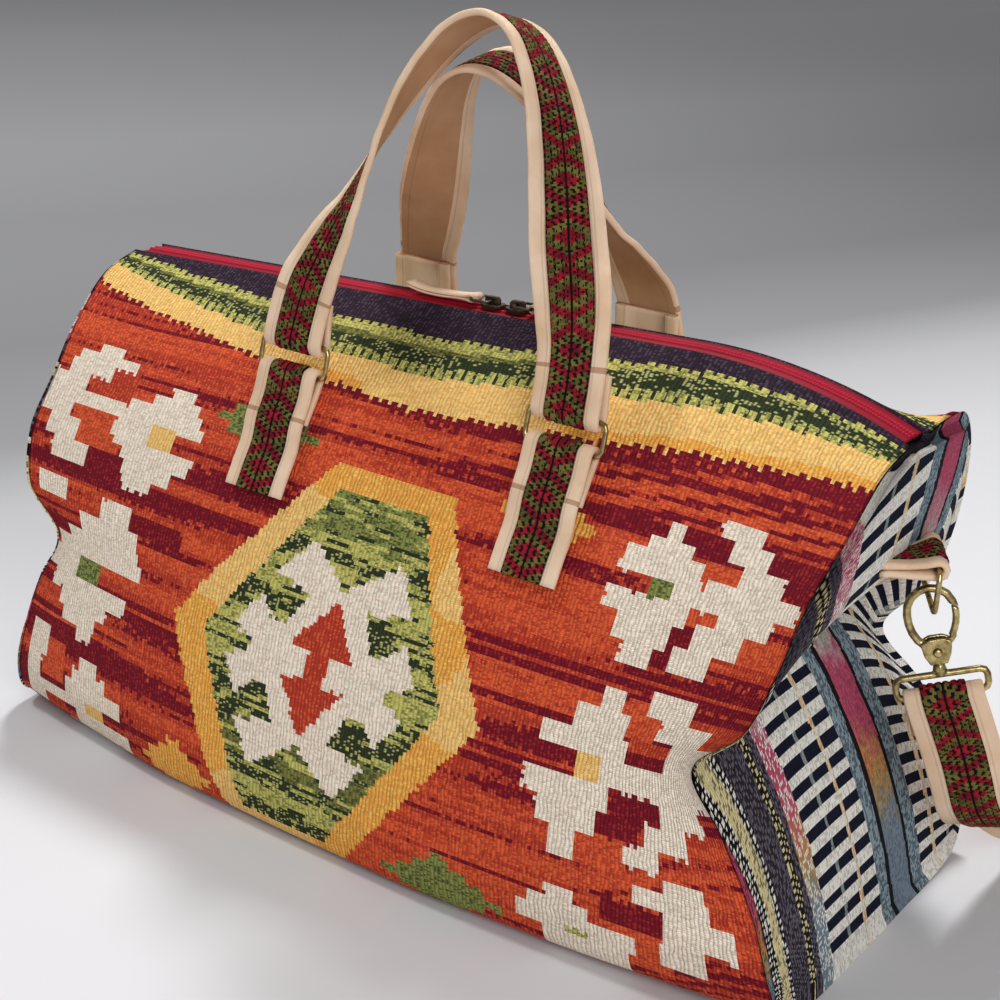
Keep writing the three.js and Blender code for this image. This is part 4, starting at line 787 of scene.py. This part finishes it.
# Zip pulls
# A strip of the same canvas folded round each wire link, lying flat along the zip away from the other one.
PULL_SECTION = np.array([[-4.5, -0.5], [4.5, -0.5], [4.5, 0.5], [-4.5, 0.5]])
PULL_LENGTH, PULL_LAYER, PULL_LOOP, LINK_REACH, LINK_HEIGHT = 44, 0.75, 1.7, 11.0, 5.0
PULL_RISE = np.array([[1, 2.2], [0.8, 0.2], [0.5, -0.6], [0.14, 0]])
slope = np.arctan(ZIP_SLOPE)
tip = np.array([[np.cos(slope), 0, np.sin(slope)], [0, 1, 0], [-np.sin(slope), 0, np.cos(slope)]])
for end, side, slide_x in (("left", -1, 6.0), ("right", 1, 22.0)):
    bar = np.array([side * LINK_REACH, 0, LINK_HEIGHT])
    reach, rise = side * PULL_LENGTH * PULL_RISE[:, 0], PULL_RISE[:, 1]
    layers = [station(bar + np.stack([reach, 0 * reach, rise + k * PULL_LAYER], -1), (0, 0, k), (0, 1, 0))
              for k in (1, -1)]
    fold = half_turn(bar, np.array([0, 0, 1.0]), np.array([-side, 0, 0.0]), (0, 1, 0), PULL_LOOP)
    rows = stations(layers[0], fold, layers[1][::-1])
    rows = (rows.reshape(-1, 3, 3) @ tip).reshape(-1, 9)
    rows[:, :3] += [slide_x, 0, zip_height(0, slide_x) - TAPE_SINK]
    canvas_strap(f"pull_cloth_{end}", rows, PULL_SECTION, f"zip_pull_{end}", f"zip_pull_{end}")

# Handles, rings and tabs
# Each handle is one strap standing in an arch over the zip. Its ends are looped through flat brass rings,
# and each ring hangs in a short looped tab of the same strap sewn to the kilim panel.
LOOP_RADIUS, LAYER_PITCH, TAB_TOP, TAB_BOTTOM, TAB_RETURN = 3.2, 2.8, 2.05 / 12, 3.72 / 12, 24.0
CLOTH_RISE, RING_HEIGHT, HANDLE_RETURN, HANDLE_LEAN = 0.8, 17, 23, np.radians(12)
RING_GAP, TAB_GAP, HANDLE_GAP, TAB_LENGTH, TAB_EASE, TAB_SEAM, HANDLE_SEAM = 1.6, 0.2, 0.9, 66, 14, 42, 58
SPAN = {"front": (9, 87), "back": (-8, 76)}
LEG = {
    "front": [[85, 58, 284, 1], [78, 50, 308, 17], [68, 42, 333, 40], [54, 31, 373, 64], [37, 21, 406, 80],
              [18, 14, 427, 88], [0, 12, 433, 90]],
    "back": [[74, 58, 286, 1], [66, 49, 307, 17], [57, 39, 328, 40], [46, 28, 358, 64], [33, 18, 386, 80],
             [17, 10, 403, 88], [0, 8, 408, 90]],
}
along_x = np.array([1.0, 0, 0])


def panel_side(t, place, y):
    """The kilim panel's point, downward direction and outward side at a share of its height."""
    at = [bag_point(place / HALF_LENGTH, k if y < 0 else 2 - k) * [0, 1, 1] for k in (t, t + 0.01, t - 0.01)]
    down = unit(at[1] - at[2])
    out = np.array([0, -down[2], down[1]])
    return at[0], down, out * (1 if out[1] * y > 0 else -1)


for face, y in (("front", -1), ("back", 1)):
    rise = np.array([0, -y * np.sin(HANDLE_LEAN), np.cos(HANDLE_LEAN)])
    facing = np.array([0, y * np.cos(HANDLE_LEAN), np.sin(HANDLE_LEAN)])
    centre, half = SPAN[face]
    seat, down, out = panel_side(TAB_TOP, half, y)
    lift = CLOTH_RISE + RAIL + LOOP_RADIUS + RING_GAP
    doubled = CLOTH_RISE + RAIL + LAYER_PITCH + TAB_GAP
    low_bar = seat + out * lift
    high_bar = low_bar + rise * RING_HEIGHT
    for end, x in (("left", -1), ("right", 1)):
        at = np.array([centre + x * half, 0, 0])
        front = []
        for k in range(5):
            point, _, side = panel_side(TAB_BOTTOM + (TAB_TOP - TAB_BOTTOM) * k / 5, at[0], y)
            below = np.linalg.norm(point - seat)
            if below > TAB_RETURN:
                high = doubled + (2 - doubled) * ease(below, TAB_RETURN, TAB_RETURN + TAB_EASE)
            else:
                high = lift + LOOP_RADIUS + (doubled - lift - LOOP_RADIUS) * np.sqrt(below / TAB_RETURN)
            front.append(station(point + side * high, side, along_x))
        tuck = []
        for share in (0.45, 1):
            lower = (TAB_BOTTOM - TAB_TOP) * TAB_RETURN / TAB_LENGTH * share
            point, _, side = panel_side(TAB_TOP + lower, at[0], y)
            high = lift - LOOP_RADIUS + (CLOTH_RISE + RAIL - lift + LOOP_RADIUS) * share
            tuck.append(station(point + side * high, -side, along_x))
        shown = stations(*front, half_turn(low_bar, out, -down, along_x, LOOP_RADIUS))
        shift = np.r_[at, np.zeros(6)]
        canvas_strap(f"{face}_tab_canvas_{end}", stations(shown, *tuck) + shift, CANVAS_SECTION, "bag",
                     f"{face}_tab_{end}", seams=[TAB_SEAM])
        braid(f"{face}_tab_braid_{end}", shown + shift, "bag", f"{face}_tab_{end}_trim")

    foot = high_bar + facing * LOOP_RADIUS
    leg = np.array([[half, y * foot[1], foot[2], 0]] + LEG[face], float)
    both = np.vstack([leg * [-1, 1, 1, 1], leg[-2::-1]])
    line = both[:, :3] * [1, y, 1] + [centre, 0, 0]
    share = np.linspace(0, 1, 25)
    place, tangent = run_of(line, share)
    twist = curve(np.stack([np.arange(len(both)), both[:, 3], 0 * both[:, 3]], 1), share, 0.3)[:, 1:2]
    twist = np.radians(np.clip(twist, 0, 90))
    outer = unit(np.cross(facing, tangent))
    level = np.abs(tangent[:, 0]) > 0.5
    wrong = np.where(level, outer[:, 2] < 0, outer[:, 0] * (place[:, 0] - centre) < 0)
    outer[wrong] *= -1
    out = squared(facing * np.cos(twist) + outer * np.sin(twist), tangent)
    width = np.cross(tangent, out)
    width[[0, -1]] = along_x * np.sign(width[[0, -1], :1])
    out[[0, -1]] = facing
    arch = station(place, out, width)

    def foot_loop(x, width):
        """The strap's way round the ring's upper bar and the short end behind."""
        at = np.array([centre + x * half, 0, 0])
        under = half_turn(high_bar + at, facing, -rise, width, LOOP_RADIUS)[1:]
        behind = []
        for k in (0.5, 1):
            apart = 2 * LOOP_RADIUS + (LAYER_PITCH + HANDLE_GAP - 2 * LOOP_RADIUS) * k
            behind.append(station(foot + at + rise * HANDLE_RETURN * k - facing * apart, -facing, width))
        return under, stations(*behind)

    under_left, behind_left = foot_loop(-1, width[0])
    under_right, behind_right = foot_loop(1, width[-1])
    shown = stations(under_left[::-1], arch, under_right)
    whole = stations(behind_left[::-1], shown, behind_right)
    canvas_strap(f"{face}_handle_canvas", whole, CANVAS_SECTION, f"{face}_handle", f"{face}_handle",
                 seams=[HANDLE_SEAM])
    braid(f"{face}_handle_braid", shown, f"{face}_handle", f"{face}_handle_trim")

brass, tree, shader = new_material("antique_brass", 0.36, 1.0)
worn = noise(tree, own_place(tree), 240.0, 5.0, 0.65)["Fac"]
dull = put(tree, "MapRange", {"Value": worn, "To Min": 0.42, "To Max": 0.18})
feed(tree, shader, {"Base Color": two_tones(tree, worn, (120, 102, 62), (204, 184, 130), 0.32, 0.62),
                    "Roughness": dull.outputs["Result"], "Normal": bumped(tree, 0.1, 0.0002, worn)})
CAST_CELL, CAST_ROUNDS = 0.00045, 10


def cast_brass(node, body):
    """A rounded casting in place of a CAD node: its copy is merged, remeshed in small cells, and every point
    is drawn halfway to the middle of its neighbours a few times."""
    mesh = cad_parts[node].data.copy()
    joined = bmesh.new()
    joined.from_mesh(mesh)
    bmesh.ops.remove_doubles(joined, verts=joined.verts, dist=1e-6)
    joined.to_mesh(mesh)
    joined.free()
    obj = placed(f"{node}_cast", mesh)
    cells = obj.modifiers.new("cells", "REMESH")
    cells.mode, cells.use_smooth_shade = "VOXEL", True
    cells.voxel_size = CAST_CELL
    rounds = obj.modifiers.new("rounds", "SMOOTH")
    rounds.factor, rounds.iterations = 0.5, CAST_ROUNDS
    cast = bpy.data.meshes.new_from_object(obj.evaluated_get(bpy.context.evaluated_depsgraph_get()))
    obj.modifiers.clear()
    obj.data = cast
    cast.materials.clear()
    cast.materials.append(brass)
    stand_in(obj, body, node)


for face in ("front", "back"):
    for end in ("left", "right"):
        cast_brass(f"{face}_ring_{end}", f"{face}_rings")

# End tabs, side rings and swivel hooks
# A looped strap tab stands out from each end panel and holds a ring, in which a brass snap hook hangs.
# The hook's block turns on a post above the eye that carries the shoulder strap.
TURN = np.radians(30)
SIDE_BAR = np.array([260.0, 16, 204])
SIDE_LOOP, TAB_LAYER = 3.3, LAYER_PITCH / 2 + 0.1
ring_axis = np.array([-np.sin(TURN), np.cos(TURN), 0])
outward = np.array([np.cos(TURN), np.sin(TURN), 0])
mirror = np.tile([-1.0, 1, 1], 3)
for end, side, root_x in (("left", -1, 247.0), ("right", 1, 246.0)):
    share = np.arange(5)[:, None] / 5
    layers = []
    for k in (1, -1):
        root = np.array([root_x, 4, 202])
        place = root + (SIDE_BAR - root) * share
        place[:, 2:] += k * (TAB_LAYER + (SIDE_LOOP - TAB_LAYER) * share**2)
        yaw = TURN * ease(share, 0, 1)
        layers.append(station(place, (0, 0, k), np.hstack([-np.sin(yaw), np.cos(yaw), 0 * yaw])))
    fold = half_turn(SIDE_BAR, np.array([0, 0, 1.0]), outward, ring_axis, SIDE_LOOP)
    rows = stations(layers[0], fold, layers[1][::-1])
    rows = rows * mirror if side < 0 else rows
    canvas_strap(f"end_tab_canvas_{end}", rows, CANVAS_SECTION, "bag", f"side_tab_{end}")
    braid(f"end_tab_braid_{end}", rows, "bag", f"side_tab_trim_{end}")
for end in ("left", "right"):
    cast_brass(f"side_ring_{end}", f"side_ring_{end}")
    cast_brass(f"hook_frame_{end}", f"hook_{end}")
    cast_brass(f"hook_gate_{end}", f"hook_gate_{end}")
    cast_brass(f"hook_rivet_{end}", f"hook_{end}")
    cast_brass(f"hook_eye_{end}", "bag")

# Shoulder strap
# One trimmed strap looped on the eye of each hook. It drops to the floor and lies on its edge behind the bag.
STRAP_RUN = np.array([
    [285, 30, 96, 0.5, -0.86, 0], [291, 42, 66, 0.45, -0.84, -0.3], [293, 60, 51, 0.3, -0.5, -0.8],
    [294, 84, 45, 0.5, -0.1, -0.86], [293, 110, 35, 0.85, 0, -0.5], [286, 136, 25, 0.98, 0.2, -0.1],
    [270, 158, 21, 0.8, 0.6, 0], [238, 170, 21, 0.2, 0.98, 0], [130, 161, 21, -0.12, 0.99, 0],
    [0, 155, 21, 0, 1, 0],
])
HOOK_TILT, RING_DROP, HOOK_LENGTH, STRAP_RETURN = np.radians(15), 21, 53.1, 20
EYE_LOOP, STRAP_GAP, RUN_STATIONS, FLOOR_GAP = 3.6, 0.5, 22, 0.4
hook_up = np.array([0, 0, np.cos(HOOK_TILT)]) - outward * np.sin(HOOK_TILT)
hook_across = outward * np.cos(HOOK_TILT) + [0, 0, np.sin(HOOK_TILT)]
showing = np.cross(hook_up, hook_across)
showing *= -np.sign(showing[1])
eye_bar = SIDE_BAR - [0, 0, RING_DROP] - hook_up * HOOK_LENGTH
loop_width = np.cross(-hook_up, showing)
top = half_turn(eye_bar, -showing, hook_up, loop_width, EYE_LOOP)
tuck = []
for k in (1, 0.5):
    apart = EYE_LOOP + (LAYER_PITCH + STRAP_GAP - 2 * EYE_LOOP) * k
    tuck.append(station(eye_bar - hook_up * STRAP_RETURN * k - showing * apart, -showing, loop_width))
run = np.vstack([np.r_[eye_bar + showing * EYE_LOOP, showing], STRAP_RUN])
share = np.arange(1, RUN_STATIONS + 1) / RUN_STATIONS
place, tangent = run_of(run[:, :3], share)
tangent[-1] = [-1, 0, 0]
out = squared(curve(run[:, 3:], share, 0.3), tangent)
width = np.cross(tangent, out)
lowest = np.abs(width[:, 2]) * STRAP_HALF + np.abs(out[:, 2]) * RAIL + FLOOR_GAP
place[:, 2] = np.maximum(place[:, 2], lowest)
shown = stations(top, station(place, out, width))
whole = stations(*tuck, shown)
shown = np.vstack([shown, shown[-2::-1] * mirror])
whole = np.vstack([whole, whole[-2::-1] * mirror])
strap = canvas_strap("strap_canvas", whole, PLAIN_SECTION, "bag", "shoulder_strap")
strap_braid = braid("strap_braid", shown, "bag", "shoulder_strap_trim")

# Floor, light and camera
# A pale studio floor, painted darker with distance and paler again far off as painted light falloff. A lamp
# at the upper left throws the handles' shadows, one behind lights the floor, and a broad one at the right
# front fills the end.
FLOOR_PAINTED_FALLOFF = [(0, 0.67), (0.3, 0.58), (0.5, 0.45), (0.64, 0.27), (0.9, 0.22), (1.4, 0.27), (1.85, 0.38),
               (2.9, 0.52)]
FLOOR_FALLOFF_WAY = (-0.939, 0.344, 0)
floor_painted_falloff, tree, shader = new_material("studio_floor", 0.9)
place = own_place(tree)
depth = put(tree, "VectorMath", {0: place, 1: FLOOR_FALLOFF_WAY}, operation="DOT_PRODUCT")
far = FLOOR_PAINTED_FALLOFF[-1][0]
ramp = put(tree, "MapRange", {"Value": depth.outputs["Value"], "From Max": far})
# Painted light falloff: the floor's tone by distance along one direction.
paint = put(tree, "ValToRGB", {"Fac": ramp.outputs["Result"]})
for distance, _ in FLOOR_PAINTED_FALLOFF[1:-1]:
    paint.color_ramp.elements.new(distance / far)
for stop, (_, tone) in zip(paint.color_ramp.elements, FLOOR_PAINTED_FALLOFF):
    stop.color = (tone, tone, 1.03 * tone, 1)
feed(tree, shader, {"Base Color": paint.outputs["Color"]})
floor_mesh = bpy.data.meshes.new("studio_floor")
floor_mesh.from_pydata([(-12, -6, 0), (12, -6, 0), (12, 18, 0), (-12, 18, 0)], [], [(0, 1, 2, 3)])
floor_mesh.materials.append(floor_painted_falloff)
placed("studio_floor", floor_mesh)

world = bpy.data.worlds.new("studio")
world.use_nodes = True
feed(world.node_tree, world.node_tree.nodes["Background"], {"Color": (1, 1, 1, 1), "Strength": 0.27})
bpy.context.scene.world = world


def lamp(name, at, target, size, power):
    """A square area lamp at a place, turned so that its face looks at the target."""
    light = bpy.data.lights.new(name, "AREA")
    light.size, light.energy = size, power
    turn = (Vector(target) - Vector(at)).to_track_quat("-Z", "Y").to_matrix().to_4x4()
    placed(name, light).matrix_world = Matrix.Translation(at) @ turn


LAMP_AIM, CAMERA_AIM, CAMERA_DISTANCE = (0, 0, 0.15), (0, 0, 0.206), 1.0424
lamp("left_lamp", (-1.3, -0.45, 2.0), LAMP_AIM, 0.3, 16)
lamp("back_lamp", (-0.5, 0.95, 2.2), LAMP_AIM, 0.4, 40)
lamp("right_lamp", (1.9, -1.7, 1.5), LAMP_AIM, 1.6, 38)

view = bpy.data.cameras.new("camera")
view.lens, view.sensor_width = 68.5, 36
view.shift_x, view.shift_y = 0.023, -0.0644
camera = placed("camera", view)
azimuth, elevation, roll = np.radians([34.7, 19.1, 3.1])
back = np.array([np.sin(azimuth), -np.cos(azimuth), 0]) * np.cos(elevation) + [0, 0, np.sin(elevation)]
level = np.array([np.cos(azimuth), np.sin(azimuth), 0])
upright = np.cross(back, level)
right = np.cos(roll) * level + np.sin(roll) * upright
up = np.cos(roll) * upright - np.sin(roll) * level
turn = Matrix(np.stack([right, up, back], 1).tolist()).to_4x4()
camera.matrix_world = Matrix.Translation((CAMERA_AIM + CAMERA_DISTANCE * back).tolist()) @ turn
bpy.context.scene.camera = camera
bpy.context.scene.view_settings.view_transform = "Standard"
